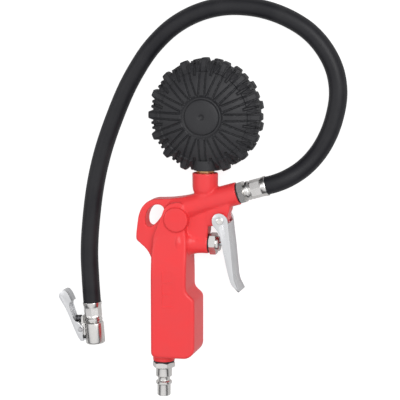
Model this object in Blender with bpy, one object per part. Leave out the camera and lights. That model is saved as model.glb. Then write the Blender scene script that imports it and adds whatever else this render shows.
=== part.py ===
"""Air-line tire inflator gun with a rubber-booted gauge, a whip hose and a clip-on chuck.

Blender units are metres.  The gun lies on its side: +Z is up, +Y runs from the inlet plug to the gauge.
"""
import math

import bmesh
import bpy
from mathutils import Vector

MM = 0.001

# Middle of the gun's footprint, in the drawing's own millimetres
FOOTPRINT = (0.49, 0.1, 0.0)

# Levels and directions
GUN_Z = 15.5
HOSE_R = 6.75
CHUCK_Z = 7.4
PORT_TILT = 16.5
CHUCK_TILT = 4.5

# Gun body
GRIP_HALF = 15.5
CORE_HALF = 8.0
SHOULDER_HALF = 11.5
LUG_HALF = 8.2
PORT_R = 9.8
PORT_TOP = 43.1
STEM_X = 2.5
TUBE_R = 8.25
TUBE_END = (27.4, 28.5)
TUBE_LENGTH = 46.0
VALVE_Y = -9.9
VALVE_BOSS_R = 7.6
VALVE_FACE = 5.4
INLET_X = -29.6
INLET_BOSS_R = 8.25
INLET_FACE = -101.2
BOSS_AT = (-17.0, 8.7)
BOSS_R = 9.0
BOSS_HALF = 13.0

# Trigger
PIVOT = (16.0, 8.7)
TRIGGER_HALF = 10.5
TRIGGER_WALL = 1.5
PIN_R = 1.9
PIN_HOLE_R = 1.95

# Gauge
GAUGE = (2.5, 85.3)
BOOT_R = 39.6
LUG_OUT = 43.0
CASE_R = 30.6
BEZEL_R = 31.6
DIAL_Z = 8.0
TOOTH_MODULE = 0.4
PINION_TEETH = 8
SECTOR_TEETH = 64
SECTOR_AT = 205.0
SECTOR_TURN = 33.75
TAIL_R = 5.0
TAIL_REST = 307.0
LINK_ANGLE = 200.0
LINK_LENGTH = 9.0

# Chuck
CHUCK_START = (-88.6, -60.9)
CHUCK_R = 7.4
LEVER_PIN = (-96.6, -82.0)
LEVER_HALF = 5.5


# --------------------------------------------------------------------------- helpers
def clear_scene():
    """Remove everything that the scene starts with."""
    for item in list(bpy.data.objects):
        bpy.data.objects.remove(item, do_unlink=True)


def material(name, colour, metallic, roughness):
    """One Principled material per finish."""
    mat = bpy.data.materials.new(name)
    mat.use_nodes = True
    shader = mat.node_tree.nodes["Principled BSDF"]
    shader.inputs["Base Color"].default_value = (*colour, 1.0)
    shader.inputs["Metallic"].default_value = metallic
    shader.inputs["Roughness"].default_value = roughness
    return mat


def unit(angle):
    """Unit vector in the XY plane, angle in degrees."""
    return Vector((math.cos(math.radians(angle)), math.sin(math.radians(angle)), 0.0))


def finish(name, bm, mat, origin=(0.0, 0.0, 0.0), smooth=True):
    """Turn a bmesh in millimetres into an object in metres with its origin at the given point."""
    bmesh.ops.recalc_face_normals(bm, faces=bm.faces)
    middle = Vector(FOOTPRINT)
    shift = Vector(origin) - middle if any(origin) else Vector((0.0, 0.0, 0.0))
    for vert in bm.verts:
        vert.co = (vert.co - middle - shift) * MM
    for face in bm.faces:
        face.smooth = smooth
    mesh = bpy.data.meshes.new(name)
    bm.to_mesh(mesh)
    bm.free()
    obj = bpy.data.objects.new(name, mesh)
    bpy.context.scene.collection.objects.link(obj)
    obj.location = shift * MM
    if mat is not None:
        mesh.materials.append(mat)
    return obj


def frame_of(axis):
    """Two unit vectors square to an axis."""
    axis = Vector(axis).normalized()
    up = Vector((0.0, 0.0, 1.0))
    if abs(axis.z) > 0.9:
        up = Vector((1.0, 0.0, 0.0))
    side = up.cross(axis).normalized()
    return side, axis.cross(side)


def add_lathe(bm, profile, base, axis, steps=24, loop=False):
    """Revolve (radius, height) rows about an axis; a third entry "hex" makes that row a hexagon."""
    axis = Vector(axis).normalized()
    side, other = frame_of(axis)
    base = Vector(base)
    rings = []
    for row in profile:
        centre = base + axis * row[1]
        if row[0] < 1e-6:
            rings.append([bm.verts.new(centre)])
            continue
        ring = []
        for i in range(steps):
            turn = 2.0 * math.pi * i / steps
            reach = row[0]
            if len(row) > 2:
                local = (turn + math.pi / 6.0) % (math.pi / 3.0) - math.pi / 6.0
                reach = row[0] / math.cos(local)
            spoke = side * math.cos(turn) + other * math.sin(turn)
            ring.append(bm.verts.new(centre + spoke * reach))
        rings.append(ring)
    pairs = list(zip(rings, rings[1:]))
    if loop:
        pairs.append((rings[-1], rings[0]))
    for low, high in pairs:
        for i in range(steps):
            j = (i + 1) % steps
            if len(low) == 1:
                bm.faces.new((low[0], high[j], high[i]))
            elif len(high) == 1:
                bm.faces.new((low[i], low[j], high[0]))
            else:
                bm.faces.new((low[i], low[j], high[j], high[i]))


def lathe(name, profile, base, axis, mat, steps=24, loop=False, origin=(0.0, 0.0, 0.0)):
    """A turned piece."""
    bm = bmesh.new()
    add_lathe(bm, profile, base, axis, steps, loop)
    return finish(name, bm, mat, origin)


def rod(radius, start, end):
    """Profile of a plain solid cylinder from start to end along its axis."""
    return [(0.0, start), (radius, start), (radius, end), (0.0, end)]


def prism(name, outline, low, high, mat, bevel=0.0, segments=2, origin=(0.0, 0.0, 0.0)):
    """An outline in XY raised from low to high, with its rims rounded."""
    bm = bmesh.new()
    bottom = [bm.verts.new((x, y, low)) for x, y in outline]
    face = bm.faces.new(bottom)
    made = bmesh.ops.extrude_face_region(bm, geom=[face])
    for item in made["geom"]:
        if isinstance(item, bmesh.types.BMVert):
            item.co.z = high
    if bevel > 0.0:
        rims = [e for e in bm.edges if abs(e.verts[0].co.z - e.verts[1].co.z) < 1e-6]
        bmesh.ops.bevel(
            bm, geom=rims, offset=bevel, segments=segments, affect="EDGES", profile=0.5, material=-1
        )
    return finish(name, bm, mat, origin, smooth=False)


def block(name, low, high, mat, origin=(0.0, 0.0, 0.0)):
    """A plain box between two corners."""
    outline = [(low[0], low[1]), (high[0], low[1]), (high[0], high[1]), (low[0], high[1])]
    return prism(name, outline, low[2], high[2], mat, origin=origin)


def round_outline(centre, radius, steps, start=0.0, sweep=360.0):
    """Points of a circle, or of an arc with both of its ends."""
    count = steps if sweep >= 360.0 else steps + 1
    spokes = [unit(start + sweep * i / steps) for i in range(count)]
    return [(centre[0] + spoke.x * radius, centre[1] + spoke.y * radius) for spoke in spokes]


def combine(target, tools, operation):
    """Boolean the tools into the target; the tools stay as hidden helpers."""
    for tool in tools:
        step = target.modifiers.new(operation.lower() + "_" + tool.name, "BOOLEAN")
        step.operation = operation
        step.solver = "EXACT"
        step.object = tool
        tool.hide_render = True
        tool.display_type = "WIRE"


def cutter(name, profile, base, axis, steps=24):
    """A turned cutter."""
    return lathe("cut_" + name, profile, base, axis, None, steps)


def sweep_path(name, path, ring, mat, origin=(0.0, 0.0, 0.0)):
    """Carry a small cross-section (across, along Z-ish) down a path, with closed ends."""
    bm = bmesh.new()
    rings = []
    for i, point in enumerate(path):
        ahead = path[min(i + 1, len(path) - 1)] - path[max(i - 1, 0)]
        side, other = frame_of(ahead)
        rings.append([bm.verts.new(point + side * a + other * b) for a, b in ring])
    for low, high in zip(rings, rings[1:]):
        for i in range(len(ring)):
            j = (i + 1) % len(ring)
            bm.faces.new((low[i], low[j], high[j], high[i]))
    bm.faces.new(list(reversed(rings[0])))
    bm.faces.new(rings[-1])
    return finish(name, bm, mat, origin)


def coil(name, base, axis, radius, wire, length, turns, mat, per_turn=10):
    """A compression spring of round wire with closed ends."""
    axis = Vector(axis).normalized()
    side, other = frame_of(axis)
    base = Vector(base)
    count = int(turns * per_turn)
    bm = bmesh.new()
    rings = []
    for i in range(count + 1):
        share = i / count
        turn = 2.0 * math.pi * turns * share
        radial = side * math.cos(turn) + other * math.sin(turn)
        centre = base + radial * radius + axis * (wire + (length - 2.0 * wire) * share)
        ring = []
        for k in range(5):
            around = 2.0 * math.pi * k / 5
            skin = radial * math.cos(around) + axis * math.sin(around)
            ring.append(bm.verts.new(centre + skin * wire))
        rings.append(ring)
    for low, high in zip(rings, rings[1:]):
        for k in range(5):
            j = (k + 1) % 5
            bm.faces.new((low[k], low[j], high[j], high[k]))
    bm.faces.new(list(reversed(rings[0])))
    bm.faces.new(rings[-1])
    return finish(name, bm, mat)


def chuck_point(along, out, z=CHUCK_Z):
    """Point in the chuck's own frame: along its axis towards the mouth, and out towards the lever."""
    down = unit(-90.0 + CHUCK_TILT)
    side = unit(180.0 + CHUCK_TILT)
    point = Vector((CHUCK_START[0], CHUCK_START[1], 0.0)) + down * along + side * out
    return Vector((point.x, point.y, z))


def chuck_outline(points):
    """Outline given in the chuck's own frame."""
    return [tuple(chuck_point(along, out)[:2]) for along, out in points]


# --------------------------------------------------------------------------- gun body
def make_gun_body(paint):
    """The die-cast body: hook, grip, ports, bosses and pivot lug, with its bores."""
    core = [
        (-6.8, 26.3), (-15.1, 24.6), (-24.7, 23.0), (-35.8, 22.6), (-40.6, 20.9), (-45.4, 16.5),
        (-47.9, 11.5), (-49.3, 2.8), (-50.4, -4.5), (-50.2, -8.2), (-47.2, -10.9), (-43.4, -13.9),
        (-39.9, -18.6), (-39.1, -22.7), (-39.1, -34.0), (-8.0, -34.0), (-6.2, -17.0), (5.0, -4.7),
        (6.3, 9.6), (10.0, 22.0),
    ]
    body = prism("gun_body", core, GUN_Z - CORE_HALF, GUN_Z + CORE_HALF, paint, bevel=2.6)
    shoulder = [
        (-8.0, 25.8), (-15.1, 24.2), (-24.0, 22.6), (-28.5, 18.5), (-31.0, 11.0), (-35.5, 1.5),
        (-38.6, -9.0), (-39.1, -22.7), (-39.1, -34.0), (-8.0, -34.0), (-8.0, -16.0), (-12.0, 1.0),
        (-10.0, 18.0),
    ]
    grip = [
        (-39.1, -20.0), (-39.1, -93.5), (-36.0, -96.0), (-20.6, -96.0), (-5.4, -95.2), (-2.6, -93.9),
        (0.7, -90.2), (0.7, -48.0), (-0.9, -44.7), (-6.2, -41.4), (-6.2, -20.0), (-12.0, -12.0),
        (-33.0, -12.0),
    ]
    lug = [
        (-5.0, 22.0), (-5.0, 4.0), (6.3, 4.0), (13.4, 5.1), (16.0, 4.3), (17.5, 4.6), (19.1, 5.6),
        (20.1, 7.2), (20.6, 8.6), (20.6, 12.9), (22.2, 15.6), (22.2, 24.0),
    ]
    tube_dir = unit(PORT_TILT)
    tube_end = Vector((*TUBE_END, GUN_Z))
    valve_at = (0.0, VALVE_Y, GUN_Z)
    inlet_at = (INLET_X, 0.0, GUN_Z)
    joins = [
        prism("join_shoulder", shoulder, GUN_Z - SHOULDER_HALF, GUN_Z + SHOULDER_HALF, None, bevel=3.0),
        prism("join_grip", grip, GUN_Z - GRIP_HALF, GUN_Z + GRIP_HALF, None, bevel=4.5, segments=3),
        prism("join_lug", lug, GUN_Z - LUG_HALF, GUN_Z + LUG_HALF, None),
        lathe("join_tube", rod(TUBE_R, -TUBE_LENGTH, 0.0), tube_end, tube_dir, None, 24),
        lathe("join_port", rod(PORT_R, 15.0, PORT_TOP), (STEM_X, 0.0, GUN_Z), (0, 1, 0), None, 24),
        lathe("join_valve", rod(VALVE_BOSS_R, -32.0, VALVE_FACE), valve_at, (1, 0, 0), None, 24),
        lathe("join_boss", rod(BOSS_R, -BOSS_HALF, BOSS_HALF), (*BOSS_AT, GUN_Z), (0, 0, 1), None, 24),
        lathe("join_inlet", rod(INLET_BOSS_R, INLET_FACE, -88.0), inlet_at, (0, 1, 0), None, 24),
    ]
    combine(body, joins, "UNION")
    hole = [
        (-33.6, 18.6), (-37.6, 16.9), (-41.2, 13.0), (-42.8, 7.8), (-42.2, 3.6), (-39.8, 1.3),
        (-36.4, 2.6), (-32.4, 6.8), (-29.0, 11.6), (-27.6, 15.0), (-29.6, 17.8),
    ]
    inlet_bore = [
        (0, INLET_FACE - 1), (6.58, INLET_FACE - 1), (6.58, -89.0), (2.6, -86.7), (2.6, -12.0), (0, -12.0),
    ]
    chamber = [(0, -28.5), (5.0, -28.5), (5.0, -12.0), (6.1, -12.0), (6.1, 7.0), (0, 7.0)]
    port_bore = [(0, 29.0), (2.5, 29.0), (6.58, 31.3), (6.58, 45.0), (0, 45.0)]
    hose_bore = [(0, -30.0), (2.5, -30.0), (2.5, -13.0), (5.2, -11.4), (5.2, 2.0), (0, 2.0)]
    cuts = [
        prism("cut_hook", hole, -1.0, 32.0, None),
        cutter("inlet", inlet_bore, inlet_at, (0, 1, 0)),
        cutter("chamber", chamber, valve_at, (1, 0, 0)),
        cutter("port", port_bore, (STEM_X, 0.0, GUN_Z), (0, 1, 0)),
        cutter("hose", hose_bore, tube_end, tube_dir),
        cutter("riser", rod(2.3, 0.0, 37.0), (-6.2, -5.5, GUN_Z), (8.7, 36.0, 0.0), 16),
        cutter("pivot", rod(PIN_HOLE_R, -14.0, 14.0), (*PIVOT, GUN_Z), (0, 0, 1), 24),
    ]
    combine(body, cuts, "DIFFERENCE")
    return body


def make_inlet(steel, rubber):
    """Quick-connect plug and its sealing washer at the foot of the grip."""
    plug = [
        (3.5, -128.1), (4.6, -128.1), (5.0, -127.4), (5.0, -119.6), (6.0, -119.0), (6.0, -117.2),
        (4.5, -116.2), (4.5, -113.9), (6.0, -113.2), (6.0, -106.1), (7.5, -106.1, "hex"),
        (7.5, -102.3, "hex"), (6.5, -102.3), (6.5, -90.0), (3.5, -90.0),
    ]
    lathe("inlet_plug", plug, (INLET_X, 0.0, GUN_Z), (0, 1, 0), steel, 24, loop=True)
    washer = [(6.6, -102.2), (7.9, -102.2), (7.9, -101.3), (6.6, -101.3)]
    lathe("inlet_seal_washer", washer, (INLET_X, 0.0, GUN_Z), (0, 1, 0), rubber, 24, loop=True)


# --------------------------------------------------------------------------- valve and trigger
def make_valve(steel, brass, rubber):
    """Gland nut, stem, poppet, seal and return spring, all on the horizontal valve axis."""
    at = (0.0, VALVE_Y, GUN_Z)
    along = (1, 0, 0)
    gland = [
        (2.8, -11.2), (5.9, -11.2), (5.9, -9.2), (4.4, -9.2), (4.4, -3.6), (6.0, -3.6), (6.0, 6.5),
        (7.3, 6.5, "hex"), (7.3, 11.6, "hex"), (5.4, 11.6), (5.4, 14.1), (1.65, 14.1), (1.65, -3.6),
        (2.8, -4.6),
    ]
    nut = lathe("valve_gland_nut", gland, at, along, steel, 24, loop=True)
    cross_port = cutter("gland_port", rod(1.3, -8.0, 8.0), (-6.6, VALVE_Y, GUN_Z), (0, 1, 0), 12)
    combine(nut, [cross_port], "DIFFERENCE")
    ring = [(6.15, 5.55), (7.1, 5.55), (7.1, 6.4), (6.15, 6.4)]
    lathe("valve_gland_washer", ring, at, along, rubber, 24, loop=True)
    stem = [
        (0, -15.2), (1.1, -15.2), (1.1, -12.1), (1.6, -12.1), (1.6, 21.0), (1.2, 21.9), (0, 22.2),
    ]
    lathe("valve_stem", stem, at, along, steel, 24, origin=at)
    poppet = [(1.15, -14.4), (4.4, -14.4), (4.4, -12.3), (1.15, -12.3)]
    lathe("valve_poppet", poppet, at, along, brass, 24, loop=True, origin=at)
    seal = [(1.7, -12.2), (4.4, -12.2), (4.4, -11.3), (1.7, -11.3)]
    lathe("valve_seal", seal, at, along, rubber, 24, loop=True, origin=at)
    coil("valve_spring", (-28.3, VALVE_Y, GUN_Z), along, 3.5, 0.4, 13.8, 6.5, steel)


def make_trigger(steel):
    """Folded sheet lever: two cheeks and a front web that flares at the finger end."""
    front = [
        (22.0, 6.9), (22.7, 0.0), (23.8, -8.0), (24.8, -18.0), (25.7, -27.3), (26.5, -34.5),
        (27.6, -38.8), (29.6, -42.3), (31.4, -45.7),
    ]
    back = [
        (20.5, 7.0), (21.2, 0.1), (22.3, -7.8), (23.3, -17.8), (24.2, -27.1), (25.0, -34.8),
        (26.2, -39.5), (28.3, -43.0), (30.1, -46.4),
    ]
    top = [
        (10.1, 8.0), (10.4, 10.9), (12.0, 13.0), (14.3, 14.2), (16.6, 14.3), (19.2, 13.2),
        (20.9, 11.1), (21.6, 9.0),
    ]
    rear = [(25.5, -39.5), (24.1, -37.2), (21.5, -28.2), (18.8, -15.2), (17.4, -8.8), (16.1, -2.3),
            (14.1, 1.5), (10.9, 4.6)]
    side = top + front + [back[-1], back[-2]] + rear
    low = GUN_Z - TRIGGER_HALF
    high = GUN_Z + TRIGGER_HALF
    pivot = (*PIVOT, GUN_Z)
    lever = prism("trigger_lever", side, low, high, steel, origin=pivot)
    inside = back + [(2.0, -46.4), (2.0, 22.0), (30.0, 22.0), (30.0, 7.0)]
    hollow = prism("cut_trigger", inside, low + TRIGGER_WALL, high - TRIGGER_WALL, None)
    holes = cutter("trigger_pivot", rod(PIN_HOLE_R, -14.0, 14.0), pivot, (0, 0, 1), 24)
    combine(lever, [hollow, holes], "DIFFERENCE")
    pin = [
        (0, 2.9), (PIN_R - 0.3, 2.9), (PIN_R, 3.2), (PIN_R, 3.7), (1.5, 3.7), (1.5, 4.4), (PIN_R, 4.4),
        (PIN_R, 26.1), (2.6, 26.1), (2.6, 27.0), (2.2, 27.4), (0, 27.4),
    ]
    lathe("trigger_pin", pin, (*PIVOT, 0.0), (0, 0, 1), steel, 24)
    ring = round_outline(PIVOT, 3.2, 20, -60.0, 300.0)
    ring += list(reversed(round_outline(PIVOT, 1.55, 20, -60.0, 300.0)))
    prism("trigger_pin_clip", ring, 3.8, 4.3, steel)


# --------------------------------------------------------------------------- gauge
def make_boot(rubber):
    """Rubber boot: domed back with hub and spokes, staggered tread lugs, lip round the dial."""
    steps = 64
    rows = [
        # radius, height, spoke relief, share of the upper lugs, share of the lower lugs
        (1.7, 28.0, 0, 0, 0), (2.6, 28.9, 0, 0, 0), (12.6, 28.4, 0, 0, 0), (13.3, 27.2, 0, 0, 0),
        (15.0, 27.0, 0, 0, 0), (16.2, 28.0, 0.5, 0, 0), (27.0, 25.8, 0.7, 0, 0),
        (36.6, 21.0, 0.4, 0.5, 0), (BOOT_R, 17.4, 0, 1, 0), (BOOT_R, 11.4, 0, 1, 0),
        (BOOT_R, 10.4, 0, 0, 1), (BOOT_R, 2.4, 0, 0, 1), (37.4, 0.0, 0, 0, 0.4), (28.8, 0.0, 0, 0, 0),
        (28.8, 1.8, 0, 0, 0), (31.9, 1.9, 0, 0, 0), (31.9, 20.4, 0, 0, 0),
        (29.4, 22.9, 0, 0, 0),
    ]
    bm = bmesh.new()
    rings = []
    for radius, height, spoke, upper, lower in rows:
        ring = []
        for i in range(steps):
            phase = i % 4
            reach = radius
            if phase in (0, 3):
                reach += upper * (LUG_OUT - BOOT_R)
            if phase in (1, 2):
                reach += lower * (LUG_OUT - BOOT_R - 1.0)
            drop = spoke if phase in (0, 3) else 0.0
            point = unit(360.0 * (i + 0.5) / steps) * reach
            ring.append(bm.verts.new((GAUGE[0] + point.x, GAUGE[1] + point.y, height - drop)))
        rings.append(ring)
    top = bm.verts.new((*GAUGE, 27.7))
    inner = bm.verts.new((*GAUGE, 22.9))
    for low, high in zip(rings, rings[1:]):
        for i in range(steps):
            j = (i + 1) % steps
            bm.faces.new((low[i], low[j], high[j], high[i]))
    for i in range(steps):
        j = (i + 1) % steps
        bm.faces.new((top, rings[0][j], rings[0][i]))
        bm.faces.new((inner, rings[-1][i], rings[-1][j]))
    boot = finish("gauge_boot", bm, rubber)
    stem = cutter("boot_stem", rod(7.6, 40.0, 58.0), (STEM_X, 0.0, GUN_Z), (0, 1, 0), 24)
    combine(boot, [stem], "DIFFERENCE")


def make_gauge_shell(black, glass, rubber, brass):
    """Case, bezel, lens and gasket, and the brass socket that screws into the gun."""
    axis = (0, 0, 1)
    at = (*GAUGE, 0.0)
    case = [
        (0, 22.6), (CASE_R - 2.0, 22.6), (CASE_R, 20.4), (CASE_R, 5.4), (CASE_R - 1.0, 5.4),
        (CASE_R - 1.0, 19.8), (CASE_R - 2.6, 21.6), (0, 21.6),
    ]
    shell = lathe("gauge_case", case, at, axis, black, 48)
    hole = cutter("case_stem", rod(6.0, 48.0, 58.5), (STEM_X, 0.0, GUN_Z), (0, 1, 0), 24)
    combine(shell, [hole], "DIFFERENCE")
    bezel = [
        (27.6, 2.2), (BEZEL_R - 0.6, 2.2), (BEZEL_R, 2.8), (BEZEL_R, 8.4), (CASE_R + 0.1, 8.4),
        (CASE_R + 0.1, 3.0), (27.6, 3.0),
    ]
    lathe("gauge_bezel", bezel, at, axis, black, 48, loop=True)
    lathe("gauge_lens", rod(30.4, 3.1, 4.7), at, axis, glass, 48)
    gasket = [(28.6, 4.8), (30.3, 4.8), (30.3, 5.3), (28.6, 5.3)]
    lathe("lens_gasket", gasket, at, axis, rubber, 40, loop=True)
    stem = [
        (1.5, 31.5), (6.0, 31.5), (6.5, 32.2), (6.5, 52.5), (5.9, 52.8), (5.9, 58.0), (1.5, 58.0),
    ]
    socket = lathe("gauge_socket", stem, (STEM_X, 0.0, GUN_Z), (0, 1, 0), brass, 24, loop=True)
    seat = block("join_socket_block", (STEM_X - 6.5, 57.9, 15.9), (STEM_X + 6.5, 69.5, 21.2), None)
    combine(socket, [seat], "UNION")
    drill = cutter("socket_bore", rod(1.2, 0.0, 7.0), (STEM_X, 56.6, GUN_Z), (0.0, 2.3, 2.4), 12)
    combine(socket, [drill], "DIFFERENCE")


def gear_outline(centre, teeth, count, first):
    """Tooth outline for count teeth; first is the angle of the first tooth's middle."""
    pitch_r = TOOTH_MODULE * teeth / 2.0
    step = 360.0 / teeth
    tip = pitch_r + 0.34
    root = pitch_r - 0.46
    outline = []
    for i in range(count):
        middle = first + step * i
        for radius, share in ((root, -0.26), (tip, -0.10), (tip, 0.10), (root, 0.26)):
            point = unit(middle + step * share) * radius
            outline.append((centre[0] + point.x, centre[1] + point.y))
    return outline


def make_movement(brass, steel):
    """Bourdon tube with its tip and link, plates, pillars, sector, pinion and hairspring."""
    gx, gy = GAUGE
    path = [Vector((gx, gy, 18.5)) + unit(-68.0 + 276.0 * i / 30) * 22.5 for i in range(31)]
    tube_ring = [(-0.9, -1.6), (0.0, -2.5), (0.9, -1.6), (0.9, 1.6), (0.0, 2.5), (-0.9, 1.6)]
    sweep_path("bourdon_tube", path, tube_ring, brass)
    pivot = Vector((gx, gy, 0.0)) + unit(SECTOR_AT) * (TOOTH_MODULE * (PINION_TEETH + SECTOR_TEETH) / 2.0)
    tail = pivot + unit(TAIL_REST) * TAIL_R
    tip = tail + unit(LINK_ANGLE) * LINK_LENGTH
    end = Vector((gx, gy, 0.0)) + unit(208.8) * 22.5
    along = unit(208.8 + 90.0)
    across = unit(208.8)
    near, far = end - across * 1.4, end + across * 1.4
    corners = [near, far, far + along * 3.6, near + along * 3.6]
    tip_block = prism("bourdon_tip", [tuple(c[:2]) for c in corners], 16.3, 20.8, brass)
    tip_pin = lathe("join_tip_pin", rod(0.5, 13.2, 17.0), (tip.x, tip.y, 0.0), (0, 0, 1), None, 12)
    combine(tip_block, [tip_pin], "UNION")

    plate = [
        (-5.0, -25.0), (5.0, -25.0), (6.4, -14.0), (6.8, 2.0), (4.0, 11.0), (-3.0, 13.0), (-9.0, 9.0),
        (-16.0, -1.0), (-16.6, -7.0), (-14.0, -9.2), (-6.0, -9.6),
    ]
    outline = [(gx + x, gy + y) for x, y in plate]
    pillars = [(gx + 4.0, gy - 7.5), (gx - 3.5, gy + 9.5)]
    for name, low, high in (("movement_front_plate", 10.0, 10.9), ("movement_back_plate", 14.7, 15.6)):
        made = prism(name, outline, low, high, brass)
        holes = [
            cutter(name + "_pinion", rod(0.85, low - 1, high + 1), (gx, gy, 0.0), (0, 0, 1), 16),
            cutter(name + "_sector", rod(0.85, low - 1, high + 1), (pivot.x, pivot.y, 0.0), (0, 0, 1), 16),
        ]
        combine(made, holes, "DIFFERENCE")
    for i, spot in enumerate(pillars):
        lathe(f"movement_pillar_{i + 1}", rod(1.3, 10.95, 14.65), (*spot, 0.0), (0, 0, 1), brass, 16)

    toothed = gear_outline(pivot, SECTOR_TEETH, 9, SECTOR_AT - 180.0 - 5.625 * 0.5)
    fan = [(pivot.x + 2.0, pivot.y - 1.6), *toothed]
    fan += [(pivot.x - 0.6, pivot.y + 2.2), (pivot.x - 2.2, pivot.y)]
    shape = tail + unit(TAIL_REST) * 1.2
    off = unit(TAIL_REST + 90.0) * 1.1
    fan += [tuple((pivot - off * 1.5)[:2]), tuple((shape - off)[:2]), tuple((shape + off)[:2])]
    sector = prism("sector_gear", fan, 12.3, 13.3, brass, origin=(pivot.x, pivot.y, 12.8))
    pins = [
        lathe("join_sector_arbor", rod(0.8, 9.6, 16.0), (pivot.x, pivot.y, 0.0), (0, 0, 1), None, 16),
        lathe("join_sector_tail", rod(0.5, 13.0, 14.2), (tail.x, tail.y, 0.0), (0, 0, 1), None, 12),
    ]
    combine(sector, pins, "UNION")
    teeth = gear_outline(GAUGE, PINION_TEETH, PINION_TEETH, SECTOR_AT)
    pinion = prism("pinion_shaft", teeth, 12.1, 13.5, steel, origin=(gx, gy, 12.8))
    shaft = lathe("join_pinion_shaft", rod(0.8, 5.6, 16.0), (gx, gy, 0.0), (0, 0, 1), None, 16)
    combine(pinion, [shaft], "UNION")

    side = unit(LINK_ANGLE + 90.0)
    ahead = unit(LINK_ANGLE)
    rear = tail - ahead * 1.3
    front = tip + ahead * 1.2
    corners = [rear - side * 1.3, rear + side * 1.3, front + side * 1.2, front - side * 1.2]
    link = prism("movement_link", [tuple(c[:2]) for c in corners], 13.45, 14.05, steel)
    holes = [
        cutter("link_tail", rod(0.82, 12.0, 15.0), (tail.x, tail.y, 0.0), (0, 0, 1), 16),
        cutter("link_tip", rod(0.55, 12.0, 15.0), (tip.x, tip.y, 0.0), (0, 0, 1), 16),
    ]
    combine(link, holes, "DIFFERENCE")
    count = 36
    centre = Vector((gx, gy, 11.45))
    spiral = [centre + unit(900.0 * i / count) * (1.5 + 3.3 * i / count) for i in range(count + 1)]
    sweep_path("hairspring", spiral, [(-0.1, -0.22), (0.1, -0.22), (0.1, 0.22), (-0.1, 0.22)], brass)


def make_dial(white, red, steel):
    """Dial plate with its screws and stop pin, and the pointer on the pinion shaft."""
    gx, gy = GAUGE
    dial = lathe("dial_plate", rod(29.2, DIAL_Z, DIAL_Z + 0.6), (gx, gy, 0.0), (0, 0, 1), white, 48)
    spots = [(gx - 10.0, gy - 3.5), (gx + 10.0, gy - 3.5)]
    holes = [cutter("dial_centre", rod(1.4, 7.0, 10.0), (gx, gy, 0.0), (0, 0, 1), 16)]
    for i, spot in enumerate(spots):
        holes.append(cutter(f"dial_screw_{i + 1}", rod(0.85, 7.0, 10.0), (*spot, 0.0), (0, 0, 1), 12))
        screw = [(0, 7.0), (1.3, 7.1), (1.6, 7.9), (0.8, 7.9), (0.8, 9.8), (0, 9.8)]
        lathe(f"dial_screw_{i + 1}", screw, (*spot, 0.0), (0, 0, 1), steel, 12)
    stop = unit(-56.0) * 14.0
    holes.append(cutter("dial_stop", rod(0.55, 7.0, 10.0), (gx + stop.x, gy + stop.y, 0.0), (0, 0, 1), 12))
    combine(dial, holes, "DIFFERENCE")
    lathe("pointer_stop_pin", rod(0.5, 6.0, 9.2), (gx + stop.x, gy + stop.y, 0.0), (0, 0, 1), steel, 12)
    ahead = unit(-45.0)
    side = unit(45.0)
    shape = [(-8.0, -1.6), (-8.0, 1.6), (0.0, 1.0), (19.0, 0.5), (21.0, 0.0), (19.0, -0.5), (0.0, -1.0)]
    outline = []
    for reach, across in shape:
        point = ahead * reach + side * across
        outline.append((gx + point.x, gy + point.y))
    pointer = prism("pointer", outline, 6.3, 6.8, red, origin=(gx, gy, 6.5))
    hub = lathe("join_pointer_hub", rod(2.2, 5.9, 7.4), (gx, gy, 0.0), (0, 0, 1), None, 20)
    combine(pointer, [hub], "UNION")
    combine(pointer, [cutter("pointer_hub", rod(0.84, 5.0, 8.0), (gx, gy, 0.0), (0, 0, 1), 16)], "DIFFERENCE")


# --------------------------------------------------------------------------- hose
def ferrule_profile(length, small, large):
    """Crimped shell: pinched behind the collar and belled at the hose end."""
    return [
        (4.5, 0.0), (small - 0.5, 0.0), (small, 0.5), (small, 2.4), (small - 0.3, 3.4), (small - 0.1, 9.6),
        (large, length - 0.8), (large, length), (6.85, length), (6.85, length - 2.4), (6.1, length - 3.2),
        (6.1, 1.4), (4.5, 1.4),
    ]


def make_gun_fitting(steel, rubber):
    """Sealing washer, barbed nipple and crimped ferrule on the gun's hose port."""
    at = Vector((*TUBE_END, GUN_Z))
    along = unit(PORT_TILT)
    washer = [(5.3, 0.1), (7.4, 0.1), (7.4, 1.1), (5.3, 1.1)]
    lathe("port_seal_washer", washer, at, along, rubber, 24, loop=True)
    nipple = [
        (2.2, -11.0), (4.6, -11.0), (5.1, -10.4), (5.1, 1.2), (7.6, 1.2, "hex"), (7.6, 5.8, "hex"),
        (5.4, 5.8), (5.4, 6.9), (4.4, 6.9), (4.4, 10.6), (5.0, 10.8), (4.3, 14.8), (5.0, 15.0),
        (3.6, 19.2), (2.2, 19.2),
    ]
    lathe("hose_nipple_gun", nipple, at, along, steel, 24, loop=True)
    shell = ferrule_profile(15.7, 7.1, 7.45)
    lathe("hose_ferrule_gun", shell, at + along * 7.1, along, steel, 24, loop=True)


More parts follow.
